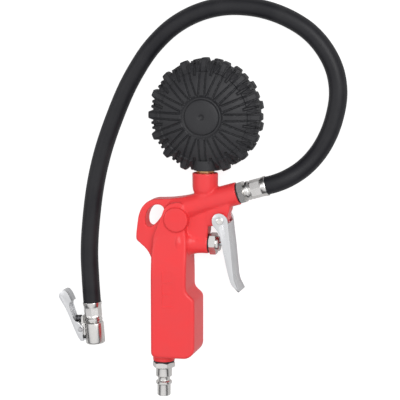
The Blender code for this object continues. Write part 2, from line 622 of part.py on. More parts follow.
def hose_route():
    """Points down the hose's centreline, from the gun's ferrule to the chuck's ferrule."""
    start = Vector((*TUBE_END, GUN_Z))
    along = unit(PORT_TILT)
    end = chuck_point(2.0, 0.0)
    down = unit(-90.0 + CHUCK_TILT)
    middle = [
        (64.3, 40.6, 13.8), (75.2, 47.9, 10.6), (84.8, 58.4, 7.9), (92.4, 71.6, 6.9), (97.6, 87.0, 6.8),
        (99.8, 103.3, 6.8), (97.2, 119.7, 6.8), (89.6, 134.8, 6.8), (78.2, 147.4, 6.8),
        (63.9, 156.4, 6.8), (47.8, 162.5, 6.8), (31.7, 165.3, 6.8), (15.6, 165.3, 6.8),
        (0.4, 162.3, 6.8), (-13.6, 156.6, 6.8), (-25.9, 148.8, 6.8), (-36.3, 139.2, 6.8),
        (-44.9, 129.0, 6.8), (-58.2, 107.4, 6.8), (-68.2, 85.4, 6.8), (-78.6, 57.0, 6.8),
        (-85.0, 31.0, 6.8), (-89.2, 0.6, 6.8), (-90.6, -21.9, 6.9), (-89.9, -42.0, 7.2),
    ]
    points = [start + along * 20.6, start + along * 23.6, start + along * 29.0]
    points += [Vector(p) for p in middle]
    points += [end - down * 8.0, end]
    return points


def smooth_path(points, count):
    """Evenly spaced points on a centripetal Catmull-Rom curve through the route."""
    padded = [points[0] * 2 - points[1], *points, points[-1] * 2 - points[-2]]
    dense = []
    for i in range(1, len(padded) - 2):
        p0, p1, p2, p3 = padded[i - 1: i + 3]
        t1 = (p1 - p0).length ** 0.5
        t2 = t1 + (p2 - p1).length ** 0.5
        t3 = t2 + (p3 - p2).length ** 0.5
        for k in range(24):
            t = t1 + (t2 - t1) * k / 24
            a1 = p0 * ((t1 - t) / t1) + p1 * (t / t1)
            a2 = p1 * ((t2 - t) / (t2 - t1)) + p2 * ((t - t1) / (t2 - t1))
            a3 = p2 * ((t3 - t) / (t3 - t2)) + p3 * ((t - t2) / (t3 - t2))
            b1 = a1 * ((t2 - t) / t2) + a2 * (t / t2)
            b2 = a2 * ((t3 - t) / (t3 - t1)) + a3 * ((t - t1) / (t3 - t1))
            dense.append(b1 * ((t2 - t) / (t2 - t1)) + b2 * ((t - t1) / (t2 - t1)))
    dense.append(points[-1].copy())
    lengths = [0.0]
    for a, b in zip(dense, dense[1:]):
        lengths.append(lengths[-1] + (b - a).length)
    path = []
    j = 0
    for i in range(count):
        want = lengths[-1] * i / (count - 1)
        while j < len(lengths) - 2 and lengths[j + 1] < want:
            j += 1
        share = (want - lengths[j]) / max(lengths[j + 1] - lengths[j], 1e-9)
        path.append(dense[j].lerp(dense[j + 1], min(share, 1.0)))
    return path


def make_hose(rubber):
    """The hose: one round curve read from the smooth route."""
    curve = bpy.data.curves.new("hose", "CURVE")
    curve.dimensions = "3D"
    curve.bevel_depth = HOSE_R * MM
    curve.bevel_resolution = 3
    curve.render_resolution_u = 0
    curve.use_fill_caps = True
    path = smooth_path(hose_route(), 40)
    spline = curve.splines.new("POLY")
    spline.points.add(len(path) - 1)
    for point, spot in zip(spline.points, path):
        point.co = (*((spot - Vector(FOOTPRINT)) * MM), 1.0)
    curve.materials.append(rubber)
    obj = bpy.data.objects.new("hose", curve)
    bpy.context.scene.collection.objects.link(obj)


# --------------------------------------------------------------------------- chuck
def make_chuck(steel, brass, rubber):
    """Clip-on chuck: ferrule, nipple, body, sealing insert, core pin and sprung thumb lever."""
    down = unit(-90.0 + CHUCK_TILT)
    out = unit(180.0 + CHUCK_TILT)
    at = chuck_point(0.0, 0.0)
    shell = [(r, 14.7 - h) for r, h in ferrule_profile(14.7, 6.7, 7.1)]
    lathe("hose_ferrule_chuck", shell, at, down, steel, 24, loop=True)
    nipple = [
        (2.2, 3.4), (3.6, 3.4), (5.0, 7.0), (4.3, 7.2), (4.4, 14.8), (5.8, 14.8), (5.8, 15.3),
        (4.4, 15.3), (4.4, 18.6), (2.2, 18.6),
    ]
    lathe("chuck_nipple", nipple, at, down, steel, 24, loop=True)

    body = [
        (4.5, 15.4), (6.6, 15.4), (CHUCK_R, 16.2), (CHUCK_R, 31.4), (6.6, 32.2), (4.3, 32.2),
        (4.3, 22.6), (3.4, 22.6), (3.4, 19.0), (4.5, 19.0),
    ]
    chuck = lathe("chuck_body", body, at, down, steel, 32, loop=True)
    ear = chuck_outline([(16.4, 5.2), (16.4, 8.9), (18.6, 11.6), (22.4, 11.6), (25.0, 9.0), (25.0, 5.2)])
    rest = chuck_outline([
        (10.4, 7.5), (10.4, 8.8), (16.8, 9.6), (18.4, 9.6), (18.4, 5.4), (16.4, 5.4), (15.7, 7.5),
    ])
    joins = [
        prism("join_chuck_ear", ear, CHUCK_Z - 3.6, CHUCK_Z + 3.6, None),
        prism("join_chuck_rest", rest, CHUCK_Z - 3.0, CHUCK_Z + 3.0, None),
    ]
    combine(chuck, joins, "UNION")
    slot = chuck_outline([(27.2, 3.0), (27.2, 9.0), (31.2, 9.0), (31.2, 3.0)])
    cuts = [
        prism("cut_chuck_slot", slot, CHUCK_Z - 3.5, CHUCK_Z + 3.5, None),
        cutter("chuck_pin", rod(1.25, -8.0, 8.0), (*LEVER_PIN, CHUCK_Z), (0, 0, 1), 16),
    ]
    combine(chuck, cuts, "DIFFERENCE")

    lever_side = [
        (-113.6, -56.9), (-113.0, -54.6), (-111.7, -53.0), (-109.6, -51.9), (-107.6, -53.2),
        (-104.8, -57.6), (-103.1, -61.6), (-101.7, -65.6), (-100.3, -69.9), (-99.6, -74.8),
        (-96.8, -78.4), (-94.6, -80.3), (-94.9, -86.0), (-94.5, -90.9), (-96.4, -90.9),
        (-98.6, -87.8), (-100.7, -83.4), (-103.1, -77.7), (-106.9, -68.3),
    ]
    pin_at = (*LEVER_PIN, CHUCK_Z)
    low = CHUCK_Z - LEVER_HALF
    high = CHUCK_Z + LEVER_HALF
    lever = prism("chuck_lever", lever_side, low, high, steel, origin=pin_at)
    hollow = [
        (-108.0, -62.5), (-105.4, -68.5), (-101.8, -77.4), (-99.5, -83.1), (-97.8, -87.0), (-96.2, -89.3),
        (-88.0, -89.3), (-88.0, -62.5),
    ]
    cuts = [
        prism("cut_lever", hollow, low + 1.1, high - 1.1, None),
        cutter("lever_pin", rod(1.25, -8.0, 8.0), pin_at, (0, 0, 1), 16),
    ]
    combine(lever, cuts, "DIFFERENCE")
    jaw = chuck_outline([(27.8, 3.9), (27.8, 9.2), (29.1, 9.2), (29.1, 3.9)])
    tooth = prism("join_lever_jaw", jaw, CHUCK_Z - 3.0, CHUCK_Z + 3.0, None)
    combine(lever, [tooth], "UNION")
    pin = [(0, 1.2), (1.2, 1.2), (1.2, 13.0), (1.6, 13.1), (1.6, 13.6), (0, 13.8)]
    lathe("chuck_lever_pin", pin, (*LEVER_PIN, 0.0), (0, 0, 1), steel, 16)
    coil("chuck_lever_spring", chuck_point(12.4, 9.3), out, 2.0, 0.35, 4.9, 4, steel)

    seal = [(1.6, 22.8), (4.1, 22.8), (4.1, 25.2), (1.6, 25.2)]
    lathe("chuck_seal", seal, at, down, rubber, 20, loop=True)
    retainer = [(3.2, 25.3), (4.2, 25.3), (4.2, 26.1), (3.2, 26.1)]
    lathe("chuck_seal_retainer", retainer, at, down, brass, 20, loop=True)
    core = [(0, 20.9), (3.0, 20.9), (3.0, 22.0), (1.1, 22.3), (1.1, 25.8), (0, 26.0)]
    lathe("chuck_core_pin", core, at, down, brass, 16, origin=tuple(chuck_point(21.4, 0.0)))
    coil("chuck_check_spring", chuck_point(18.7, 0.0), down, 2.6, 0.2, 2.1, 3, steel)


def main():
    clear_scene()
    paint = material("red_paint", (0.86, 0.06, 0.05), 0.0, 0.35)
    chrome = material("bright_plating", (0.78, 0.77, 0.75), 1.0, 0.18)
    steel = material("steel", (0.62, 0.62, 0.62), 1.0, 0.35)
    brass = material("brass", (0.78, 0.58, 0.30), 1.0, 0.3)
    rubber = material("black_rubber", (0.045, 0.045, 0.05), 0.0, 0.6)
    hose_rubber = material("hose_rubber", (0.03, 0.03, 0.035), 0.0, 0.5)
    black = material("black_shell", (0.03, 0.03, 0.03), 0.0, 0.4)
    glass = material("clear_lens", (0.95, 0.97, 0.97), 0.0, 0.05)
    white = material("dial_white", (0.92, 0.92, 0.9), 0.0, 0.5)
    red = material("pointer_red", (0.75, 0.05, 0.04), 0.0, 0.4)
    make_gun_body(paint)
    make_inlet(chrome, rubber)
    make_valve(steel, brass, rubber)
    make_trigger(chrome)
    make_boot(rubber)
    make_gauge_shell(black, glass, rubber, brass)
    make_movement(brass, steel)
    make_dial(white, red, steel)
    make_gun_fitting(chrome, rubber)
    make_hose(hose_rubber)
    make_chuck(chrome, brass, rubber)


main()
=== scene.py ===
# %% [markdown]
# A tire inflator gun lies on its side: a red cast grip, a dial gauge in a rubber boot, a hose and a chuck.
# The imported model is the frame.  Everything new is drawn in millimetres, in the drawing's own place, and is
# scaled and shifted onto the frame when it is finished.

# %% Load the frame
import math

import bmesh
import bpy
from mathutils import Matrix, Vector


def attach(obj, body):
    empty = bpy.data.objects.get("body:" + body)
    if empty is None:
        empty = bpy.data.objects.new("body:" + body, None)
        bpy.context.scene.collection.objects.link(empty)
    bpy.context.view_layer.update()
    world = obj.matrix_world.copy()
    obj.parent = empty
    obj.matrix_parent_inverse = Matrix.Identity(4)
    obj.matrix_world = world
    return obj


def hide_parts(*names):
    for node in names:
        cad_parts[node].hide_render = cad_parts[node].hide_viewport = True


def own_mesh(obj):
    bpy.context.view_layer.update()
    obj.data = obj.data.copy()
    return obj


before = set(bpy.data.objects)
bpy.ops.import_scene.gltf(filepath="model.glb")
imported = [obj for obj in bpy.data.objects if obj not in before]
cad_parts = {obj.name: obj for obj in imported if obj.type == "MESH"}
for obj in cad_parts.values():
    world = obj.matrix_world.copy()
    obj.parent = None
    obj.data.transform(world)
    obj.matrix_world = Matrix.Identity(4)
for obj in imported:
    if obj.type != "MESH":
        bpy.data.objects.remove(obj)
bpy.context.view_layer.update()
MM = 0.001
MIDDLE = Vector((0.49, 0.1, 0.0))
GUN_Z = 15.5

# %% [markdown]
# The camera looks down on the gun from a little to its right and a little from the gauge's end, which is at
# the top of the view.  It is set from its own three axes, because a camera that looks almost straight down
# has no natural up.

# %% Camera
VIEW_RIGHT = math.radians(14.0)
VIEW_ABOVE = math.radians(9.0)
VIEW_DISTANCE = 1.3
VIEW_WIDTH = 0.297
VIEW_MIDDLE = (-1.5, 22.4, GUN_Z)
SENSOR_WIDTH = 36.0


def to_frame(x, y, z=0.0):
    """A point of the drawing, in metres in the frame."""
    return (Vector((x, y, z)) - MIDDLE) * MM


def new_object(name, data):
    """An object in the scene that shows the given data."""
    obj = bpy.data.objects.new(name, data)
    bpy.context.scene.collection.objects.link(obj)
    return obj


aim = to_frame(*VIEW_MIDDLE)
back = Vector((math.tan(VIEW_RIGHT), math.tan(VIEW_ABOVE), 1.0)).normalized()
sideways = Vector((0.0, 1.0, 0.0)).cross(back).normalized()
upward = back.cross(sideways)
camera = bpy.data.cameras.new("camera")
camera.sensor_width = SENSOR_WIDTH
camera.lens = SENSOR_WIDTH * VIEW_DISTANCE / VIEW_WIDTH
camera.clip_start = 0.05
camera.clip_end = 20.0
camera_object = new_object("camera", camera)
turn = Matrix((sideways, upward, back)).transposed().to_4x4()
camera_object.matrix_world = Matrix.Translation(aim + back * VIEW_DISTANCE) @ turn
bpy.context.scene.camera = camera_object
print("camera lens", round(camera.lens, 1), "mm at", VIEW_DISTANCE, "m")

# %% [markdown]
# Small helpers for materials.  A finish is a Principled shader whose colour, roughness and bump are driven by
# procedural nodes on Object coordinates, so a pattern keeps its size on every piece.


# %% Node helpers
def add(tree, kind, **values):
    """Add a node and set its properties."""
    node = tree.nodes.new(kind)
    for key, value in values.items():
        setattr(node, key, value)
    return node


def put(node, socket, value):
    """Set the value of a node's input."""
    node.inputs[socket].default_value = value


def wire(tree, source, target):
    """Give an input its value: a socket is linked to it, and a number or a colour is set on it."""
    if isinstance(source, bpy.types.NodeSocket):
        tree.links.new(source, target)
    else:
        target.default_value = source


def noise_node(tree, coords, scale, detail, distortion=0.0):
    """A noise texture on the given coordinates."""
    node = add(tree, "ShaderNodeTexNoise")
    put(node, "Detail", detail)
    put(node, "Distortion", distortion)
    wire(tree, scale, node.inputs["Scale"])
    wire(tree, coords, node.inputs["Vector"])
    return node.outputs["Fac"]


def remap(tree, value, low, high, out_low, out_high):
    """Stretch a value from one range to another, clamped."""
    node = add(tree, "ShaderNodeMapRange")
    put(node, "From Min", low)
    put(node, "From Max", high)
    put(node, "To Min", out_low)
    put(node, "To Max", out_high)
    wire(tree, value, node.inputs["Value"])
    return node.outputs["Result"]


def blend_colour(tree, mask, first, second):
    """Mix two colours by a mask; each is a colour or a socket."""
    node = add(tree, "ShaderNodeMix", data_type="RGBA")
    wire(tree, mask, node.inputs["Factor"])
    for socket, value in ((node.inputs[6], first), (node.inputs[7], second)):
        wire(tree, (*value, 1.0) if isinstance(value, tuple) else value, socket)
    return node.outputs[2]


def combine(tree, operation, first, second):
    """One number from two; each is a number or a socket."""
    node = add(tree, "ShaderNodeMath", operation=operation)
    wire(tree, first, node.inputs[0])
    wire(tree, second, node.inputs[1])
    return node.outputs[0]


# %% [markdown]
# Three effects are used by more than one finish, so each is a node group that is built once: wear along
# edges, a fine grain for cast, moulded and plated surfaces, and a faint film of dust and handling marks.


# %% Shared shader groups
def new_group(name, inputs, output):
    """A shader group with float inputs (name, default) and one output, and what it is built between."""
    group = bpy.data.node_groups.new(name, "ShaderNodeTree")
    for label, default in inputs:
        socket = group.interface.new_socket(name=label, in_out="INPUT", socket_type="NodeSocketFloat")
        socket.default_value = default
    group.interface.new_socket(name=output, in_out="OUTPUT", socket_type="NodeSocketFloat")
    given = add(group, "NodeGroupInput").outputs
    coords = add(group, "ShaderNodeTexCoord").outputs["Object"]
    return group, given, coords, add(group, "NodeGroupOutput").inputs[output]


def make_edge_group():
    """Mask of the edges that stand out, broken up by noise."""
    group, given, coords, result = new_group("edge_wear", [("Radius", 0.0005), ("Amount", 1.0)], "Mask")
    rounded = add(group, "ShaderNodeBevel", samples=4)
    wire(group, given["Radius"], rounded.inputs["Radius"])
    flat = add(group, "ShaderNodeNewGeometry")
    dot = add(group, "ShaderNodeVectorMath", operation="DOT_PRODUCT")
    wire(group, rounded.outputs["Normal"], dot.inputs[0])
    wire(group, flat.outputs["Normal"], dot.inputs[1])
    edge = remap(group, dot.outputs["Value"], 0.99, 0.90, 0.0, 1.0)
    broken = remap(group, noise_node(group, coords, 420.0, 4.0), 0.40, 0.62, 0.15, 1.0)
    worn = combine(group, "MULTIPLY", edge, broken)
    wire(group, combine(group, "MULTIPLY", worn, given["Amount"]), result)
    return group


def make_grain_group():
    """Height of a fine grain laid over a broader unevenness."""
    group, given, coords, result = new_group(
        "grain", [("Fine", 3000.0), ("Broad", 220.0), ("Share", 0.5)], "Height")
    mix = add(group, "ShaderNodeMix", data_type="FLOAT")
    wire(group, given["Share"], mix.inputs[0])
    wire(group, noise_node(group, coords, given["Fine"], 2.0), mix.inputs[2])
    wire(group, noise_node(group, coords, given["Broad"], 3.0), mix.inputs[3])
    wire(group, mix.outputs[0], result)
    return group


def make_film_group():
    """Mask of a thin uneven film: soft smudges with a few small specks."""
    group, given, coords, result = new_group("film", [("Scale", 60.0), ("Specks", 0.3)], "Mask")
    soft = remap(group, noise_node(group, coords, given["Scale"], 4.0, 0.6), 0.35, 0.75, 0.0, 1.0)
    speck = remap(group, noise_node(group, coords, 1900.0, 2.0), 0.66, 0.72, 0.0, 1.0)
    specks = combine(group, "MULTIPLY", speck, given["Specks"])
    wire(group, combine(group, "MAXIMUM", soft, specks), result)
    return group


GROUPS = {"edge": make_edge_group(), "grain": make_grain_group(), "film": make_film_group()}
print("shader groups:", sorted(group.name for group in GROUPS.values()))


# %% [markdown]
# A finish is one Principled shader.  The film dulls its base colour and its gloss, the edges that stand out
# show the bare or rubbed stock, and the grain drives a bump.  The finishes differ only in their values, so
# one function makes them all, and a value that is the same all over is set on the shader itself.

# %% A finish from the shared groups
def use_group(tree, label, **values):
    """Place one of the shared groups in a material and return its output."""
    node = add(tree, "ShaderNodeGroup", node_tree=GROUPS[label])
    for key, value in values.items():
        put(node, key, value)
    return node.outputs[0]


def new_material(name):
    """A material, its node tree and its shader."""
    material = bpy.data.materials.new(name)
    material.use_nodes = True
    return material, material.node_tree, material.node_tree.nodes["Principled BSDF"]


def finish_of(name, colour, worn, rough, metal=0.0, edge=(0.0004, 1.0), grain=(3000.0, 220.0, 0.5),
              bump=0.02, film=(60.0, 0.3), spread=0.08, **fixed):
    """A finish: base colour with worn edges, roughness that varies with a film, and a fine bump."""
    material, tree, shader = new_material(name)
    put(shader, "Metallic", metal)
    for key, value in fixed.items():
        put(shader, key.replace("_", " "), value)
    mask = use_group(tree, "edge", Radius=edge[0], Amount=edge[1])
    film_mask = use_group(tree, "film", Scale=film[0], Specks=film[1])
    dulled = tuple(min(1.0, c * 0.92 + 0.012) for c in colour)
    base = blend_colour(tree, film_mask, colour, dulled)
    wire(tree, blend_colour(tree, mask, base, worn), shader.inputs["Base Color"])
    wire(tree, remap(tree, film_mask, 0.0, 1.0, rough, rough + spread), shader.inputs["Roughness"])
    height = use_group(tree, "grain", Fine=grain[0], Broad=grain[1], Share=grain[2])
    relief = add(tree, "ShaderNodeBump")
    put(relief, "Strength", 1.0)
    put(relief, "Distance", bump * MM)
    wire(tree, height, relief.inputs["Height"])
    wire(tree, relief.outputs["Normal"], shader.inputs["Normal"])
    return material


paint = finish_of("gloss_red_paint", (0.90, 0.052, 0.057), (0.92, 0.12, 0.12), 0.30, edge=(0.0006, 0.35),
                  grain=(900.0, 160.0, 0.35), bump=0.035, film=(40.0, 0.15), spread=0.05,
                  Coat_Weight=0.10, Coat_Roughness=0.15, Specular_IOR_Level=0.25)
boot_rubber = finish_of("moulded_boot_rubber", (0.022, 0.022, 0.025), (0.048, 0.048, 0.053), 0.50,
                        edge=(0.0005, 0.5), grain=(2600.0, 260.0, 0.4), bump=0.05, film=(55.0, 0.5),
                        spread=0.12, Specular_IOR_Level=0.35)
hose_rubber = finish_of("extruded_hose_rubber", (0.010, 0.010, 0.013), (0.03, 0.03, 0.034), 0.42,
                        edge=(0.0003, 0.3), grain=(2200.0, 150.0, 0.5), bump=0.045, film=(35.0, 0.3),
                        spread=0.12, Specular_IOR_Level=0.3)
seal_rubber = finish_of("seal_rubber", (0.018, 0.018, 0.020), (0.04, 0.04, 0.04), 0.55)
nickel = finish_of("bright_nickel_plate", (0.80, 0.785, 0.765), (0.90, 0.89, 0.87), 0.20, metal=1.0,
                   edge=(0.0003, 0.6), grain=(2400.0, 400.0, 0.4), bump=0.006, film=(90.0, 0.3), spread=0.10)
lever_plate = finish_of("satin_zinc_plate", (0.75, 0.755, 0.77), (0.90, 0.90, 0.91), 0.26, metal=1.0,
                        edge=(0.0004, 0.7), grain=(1800.0, 260.0, 0.5), bump=0.012, film=(70.0, 0.3),
                        spread=0.12)
steel = finish_of("plain_steel", (0.56, 0.56, 0.57), (0.75, 0.75, 0.75), 0.28, metal=1.0, bump=0.008)
spring_steel = finish_of("dark_spring_steel", (0.16, 0.16, 0.17), (0.4, 0.4, 0.4), 0.32, metal=1.0, bump=0.01)
brass = finish_of("machined_brass", (0.80, 0.56, 0.26), (0.92, 0.72, 0.42), 0.24, metal=1.0, bump=0.01)
black_shell = finish_of("black_enamel", (0.018, 0.018, 0.019), (0.12, 0.12, 0.12), 0.32, bump=0.02)
dial_white = finish_of("dial_enamel", (0.86, 0.86, 0.83), (0.80, 0.80, 0.78), 0.45, bump=0.008)
dial_ink = finish_of("dial_ink", (0.012, 0.012, 0.012), (0.02, 0.02, 0.02), 0.5, bump=0.006)
dial_red = finish_of("dial_red_ink", (0.62, 0.02, 0.02), (0.66, 0.05, 0.04), 0.45, bump=0.006)
print("finishes:", len(bpy.data.materials))

# %% [markdown]
# The lens is clear: transmission and metallic stay plain on the shader, and only its roughness wanders.

# %% Lens glass
glass, glass_tree, glass_shader = new_material("clear_lens")
put(glass_shader, "Base Color", (0.96, 0.98, 0.98, 1.0))
put(glass_shader, "Transmission Weight", 1.0)
put(glass_shader, "IOR", 1.46)
smear = use_group(glass_tree, "film", Scale=45.0, Specks=0.6)
wire(glass_tree, remap(glass_tree, smear, 0.0, 1.0, 0.02, 0.10), glass_shader.inputs["Roughness"])
print("lens glass:", glass.name)


# %% [markdown]
# The studio is a white table under a large soft light, with long strips at both sides that draw the streaks
# on the paint and the plated parts.  The sky is pale with a darker band, which gives bright metal its darks.
# The table glows a little, and throws less of that glow on the gun than it shows, for the same reason.

# %% Floor and light
def soft_light(name, size, place, power):
    """A rectangular soft light aimed at the middle of the table."""
    data = bpy.data.lights.new(name, "AREA")
    data.shape = "RECTANGLE"
    data.size, data.size_y = size
    data.energy = power
    lamp = new_object(name, data)
    lamp.location = place
    lamp.rotation_mode = "QUATERNION"
    lamp.rotation_quaternion = (-Vector(place)).to_track_quat("-Z", "Y")


TABLE_WHITE = 0.86
TABLE_FILL = 0.30
JUST_BELOW = -0.0002
floor_mesh = bpy.data.meshes.new("floor")
floor_bm = bmesh.new()
bmesh.ops.create_grid(floor_bm, x_segments=1, y_segments=1, size=4.0)
floor_bm.to_mesh(floor_mesh)
floor_bm.free()
floor = new_object("floor", floor_mesh)
floor.location = (0.0, 0.0, JUST_BELOW)
floor_finish, floor_tree, floor_shader = new_material("white_table")
put(floor_shader, "Base Color", (0.32, 0.32, 0.32, 1.0))
put(floor_shader, "Roughness", 0.9)
put(floor_shader, "Specular IOR Level", 0.1)
put(floor_shader, "Emission Color", (1.0, 1.0, 1.0, 1.0))
ray = add(floor_tree, "ShaderNodeLightPath")
glow = remap(floor_tree, ray.outputs["Is Camera Ray"], 0.0, 1.0, TABLE_FILL, TABLE_WHITE)
wire(floor_tree, glow, floor_shader.inputs["Emission Strength"])
floor_mesh.materials.append(floor_finish)

soft_light("overhead", (0.9, 0.9), (0.75, 0.65, 1.3), 11.0)
soft_light("left_strip", (0.35, 1.6), (-1.1, 0.2, 0.75), 2.4)
soft_light("right_strip", (0.30, 1.6), (1.2, 0.1, 0.60), 1.8)
world = bpy.data.worlds.new("studio")
world.use_nodes = True
bpy.context.scene.world = world
sky = world.node_tree
sky_place = add(sky, "ShaderNodeTexCoord")
sky_split = add(sky, "ShaderNodeSeparateXYZ")
wire(sky, sky_place.outputs["Generated"], sky_split.inputs["Vector"])
sky_ramp = add(sky, "ShaderNodeValToRGB")
sky_stops = sky_ramp.color_ramp.elements
sky_stops[0].color = (0.75, 0.75, 0.76, 1.0)
sky_stops[1].color = (0.95, 0.95, 0.95, 1.0)
for position, level in ((0.12, 0.10), (0.42, 0.06), (0.60, 0.80)):
    stop = sky_stops.new(position)
    stop.color = (level, level, level * 1.02, 1.0)
wire(sky, sky_split.outputs["Z"], sky_ramp.inputs["Fac"])
wire(sky, sky_ramp.outputs["Color"], sky.nodes["Background"].inputs["Color"])
put(sky.nodes["Background"], "Strength", 0.95)
bpy.context.scene.view_settings.view_transform = "Standard"
print("sky stops at", [round(stop.position, 2) for stop in sky_stops])


# %% [markdown]
# Modelling helpers.  A shape is drawn as a bmesh in millimetres: turned pieces are an outline spun round the
# Z axis and laid along their real axis, and stamped or cast ones are an outline pushed up into a slab.

# %% Shape helpers
SAME_POINT = 0.0005


def unit(angle):
    """Unit vector in the XY plane, angle in degrees."""
    return Vector((math.cos(math.radians(angle)), math.sin(math.radians(angle)), 0.0))


def ramp(value, low, high):
    """Smooth step from 0 to 1 between low and high."""
    t = min(1.0, max(0.0, (value - low) / (high - low)))
    return t * t * (3.0 - 2.0 * t)


def laid_along(base, axis):
    """Matrix that takes the Z axis to an axis through a base point."""
    turn = Vector((0.0, 0.0, 1.0)).rotation_difference(Vector(axis).normalized())
    return Matrix.Translation(Vector(base)) @ turn.to_matrix().to_4x4()


def turned(profile, steps=96, loop=False):
    """Spin (radius, height) points round the Z axis into a closed skin."""
    bm = bmesh.new()
    points = [bm.verts.new((radius, 0.0, height)) for radius, height in profile]
    edges = [bm.edges.new(pair) for pair in zip(points, points[1:])]
    if loop:
        edges.append(bm.edges.new((points[-1], points[0])))
    bmesh.ops.spin(bm, geom=points + edges, cent=(0, 0, 0), axis=(0, 0, 1), dvec=(0, 0, 0),
                   angle=2.0 * math.pi, steps=steps, use_merge=True, use_duplicate=False)
    bmesh.ops.remove_doubles(bm, verts=bm.verts, dist=SAME_POINT)
    bmesh.ops.recalc_face_normals(bm, faces=bm.faces)
    return bm


def slab(outline, low, high, rim=0.0, segments=3):
    """Raise an outline from low to high and round its two rims."""
    bm = bmesh.new()
    face = bm.faces.new([bm.verts.new((x, y, low)) for x, y in outline])
    made = bmesh.ops.extrude_face_region(bm, geom=[face])
    raised = [item for item in made["geom"] if isinstance(item, bmesh.types.BMVert)]
    bmesh.ops.translate(bm, verts=raised, vec=(0.0, 0.0, high - low))
    bmesh.ops.recalc_face_normals(bm, faces=bm.faces)
    if rim > 0.0:
        rims = [e for e in bm.edges if abs(e.verts[0].co.z - e.verts[1].co.z) < SAME_POINT]
        bmesh.ops.bevel(bm, geom=rims, offset=rim, segments=segments, affect="EDGES", profile=0.5,
                        material=-1)
    return bm


def solid(bm, place=None):
    """A work object in drawing millimetres."""
    if place is not None:
        bmesh.ops.transform(bm, matrix=place, verts=bm.verts)
    mesh = bpy.data.meshes.new("work")
    bm.to_mesh(mesh)
    bm.free()
    return new_object("work", mesh)


def gather(target, bm, place=None):
    """Add one bmesh to another and free it."""
    if place is not None:
        bmesh.ops.transform(bm, matrix=place, verts=bm.verts)
    scratch = bpy.data.meshes.new("scratch")
    bm.to_mesh(scratch)
    bm.free()
    target.from_mesh(scratch)
    bpy.data.meshes.remove(scratch)


def round_form(profile, base, axis, steps=96, loop=False):
    """A turned solid laid on its axis, as a work object."""
    return solid(turned(profile, steps, loop), laid_along(base, axis))


def round_bar(radius, start, end, base, axis, steps=96):
    """A plain round bar as a work object, from start to end along its axis."""
    return round_form([(0.0, start), (radius, start), (radius, end), (0.0, end)], base, axis, steps)


def settle(obj):
    """Apply an object's modifiers to its mesh."""
    ready = obj.evaluated_get(bpy.context.evaluated_depsgraph_get())
    mesh = bpy.data.meshes.new_from_object(ready)
    old = obj.data
    obj.modifiers.clear()
    obj.data = mesh
    bpy.data.meshes.remove(old)
    return obj


def shape_with(obj, tools, operation="DIFFERENCE"):
    """Boolean the tools into an object and throw them away."""
    for tool in tools:
        step = obj.modifiers.new("shape", "BOOLEAN")
        step.operation = operation
        step.solver = "EXACT"
        step.object = tool
    settle(obj)
    for tool in tools:
        bpy.data.objects.remove(tool, do_unlink=True)
    return obj


def fuse(parts, voxel, rounds):
    """Melt overlapping solids into one skin and soften it, as a casting's fillets are."""
    joined = bmesh.new()
    for part in parts:
        joined.from_mesh(part.data)
        bpy.data.objects.remove(part, do_unlink=True)
    whole = solid(joined)
    step = whole.modifiers.new("melt", "REMESH")
    step.mode = "VOXEL"
    step.voxel_size = voxel
    soften = whole.modifiers.new("soften", "SMOOTH")
    soften.factor = 0.5
    soften.iterations = rounds
    return settle(whole)


def place_piece(obj, name, finish, body, nodes=(), sharp=35.0):
    """Scale a finished work object onto the frame, give it its finish and let it ride on its body."""
    mesh = obj.data
    mesh.transform(Matrix.Scale(MM, 4) @ Matrix.Translation(-MIDDLE))
    mesh.shade_smooth()
    mesh.set_sharp_from_angle(angle=math.radians(sharp))
    mesh.materials.clear()
    mesh.materials.append(finish)
    obj.name = name
    mesh.name = name
    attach(obj, body)
    if nodes:
        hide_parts(*nodes)
    print(f"{name}: {len(mesh.polygons)} faces")
    return obj


def turned_piece(name, profile, base, axis, finish, body, nodes=(), steps=96, loop=True):
    """A turned piece laid on its axis and placed."""
    return place_piece(round_form(profile, base, axis, steps, loop), name, finish, body, nodes)


# %% [markdown]
# The hose is about half a metre of 13.5 mm rubber hose.  It leaves the crimped ferrule straight, drops to the
# table and lies there in one big loop to the chuck.  A curve with a round bevel keeps its section true.

# %% Hose route
HOSE_R = 6.75
HOSE_POINTS = 240
TUBE_END = Vector((27.4, 28.5, GUN_Z))
TUBE_DIR = unit(16.5)
CHUCK_Z = 7.4
CHUCK_DOWN = unit(-85.5)
CHUCK_SIDE = unit(184.5)


def chuck_point(along, out, z=CHUCK_Z):
    """Point in the chuck's own frame: along its axis to the mouth, and out towards the lever."""
    spot = Vector((-88.6, -60.9, 0.0)) + CHUCK_DOWN * along + CHUCK_SIDE * out
    return Vector((spot.x, spot.y, z))


hose_end = chuck_point(2.0, 0.0)
hose_route = [TUBE_END + TUBE_DIR * s for s in (20.6, 23.6, 29.0)] + [Vector(p) for p in (
    (64.3, 40.6, 13.8), (75.2, 47.9, 10.6), (84.8, 58.4, 7.9), (92.4, 71.6, 6.9), (97.6, 87.0, 6.8),
    (99.8, 103.3, 6.8), (97.2, 119.7, 6.8), (89.6, 134.8, 6.8), (78.2, 147.4, 6.8),
    (63.9, 156.4, 6.8), (47.8, 162.5, 6.8), (31.7, 165.3, 6.8), (15.6, 165.3, 6.8),
    (0.4, 162.3, 6.8), (-13.6, 156.6, 6.8), (-25.9, 148.8, 6.8), (-36.3, 139.2, 6.8),
    (-44.9, 129.0, 6.8), (-58.2, 107.4, 6.8), (-68.2, 85.4, 6.8), (-78.6, 57.0, 6.8),
    (-85.0, 31.0, 6.8), (-89.2, 0.6, 6.8), (-90.6, -21.9, 6.9), (-89.9, -42.0, 7.2))]
hose_route += [hose_end - CHUCK_DOWN * 8.0, hose_end]


# %% [markdown]
# A hose has no corners, so the route's points are joined by a centripetal Catmull-Rom curve, which passes
# through every point and doesn't overshoot between uneven ones.  It is then cut into evenly spaced points.

# %% Smooth path through the route
SHARES = 24


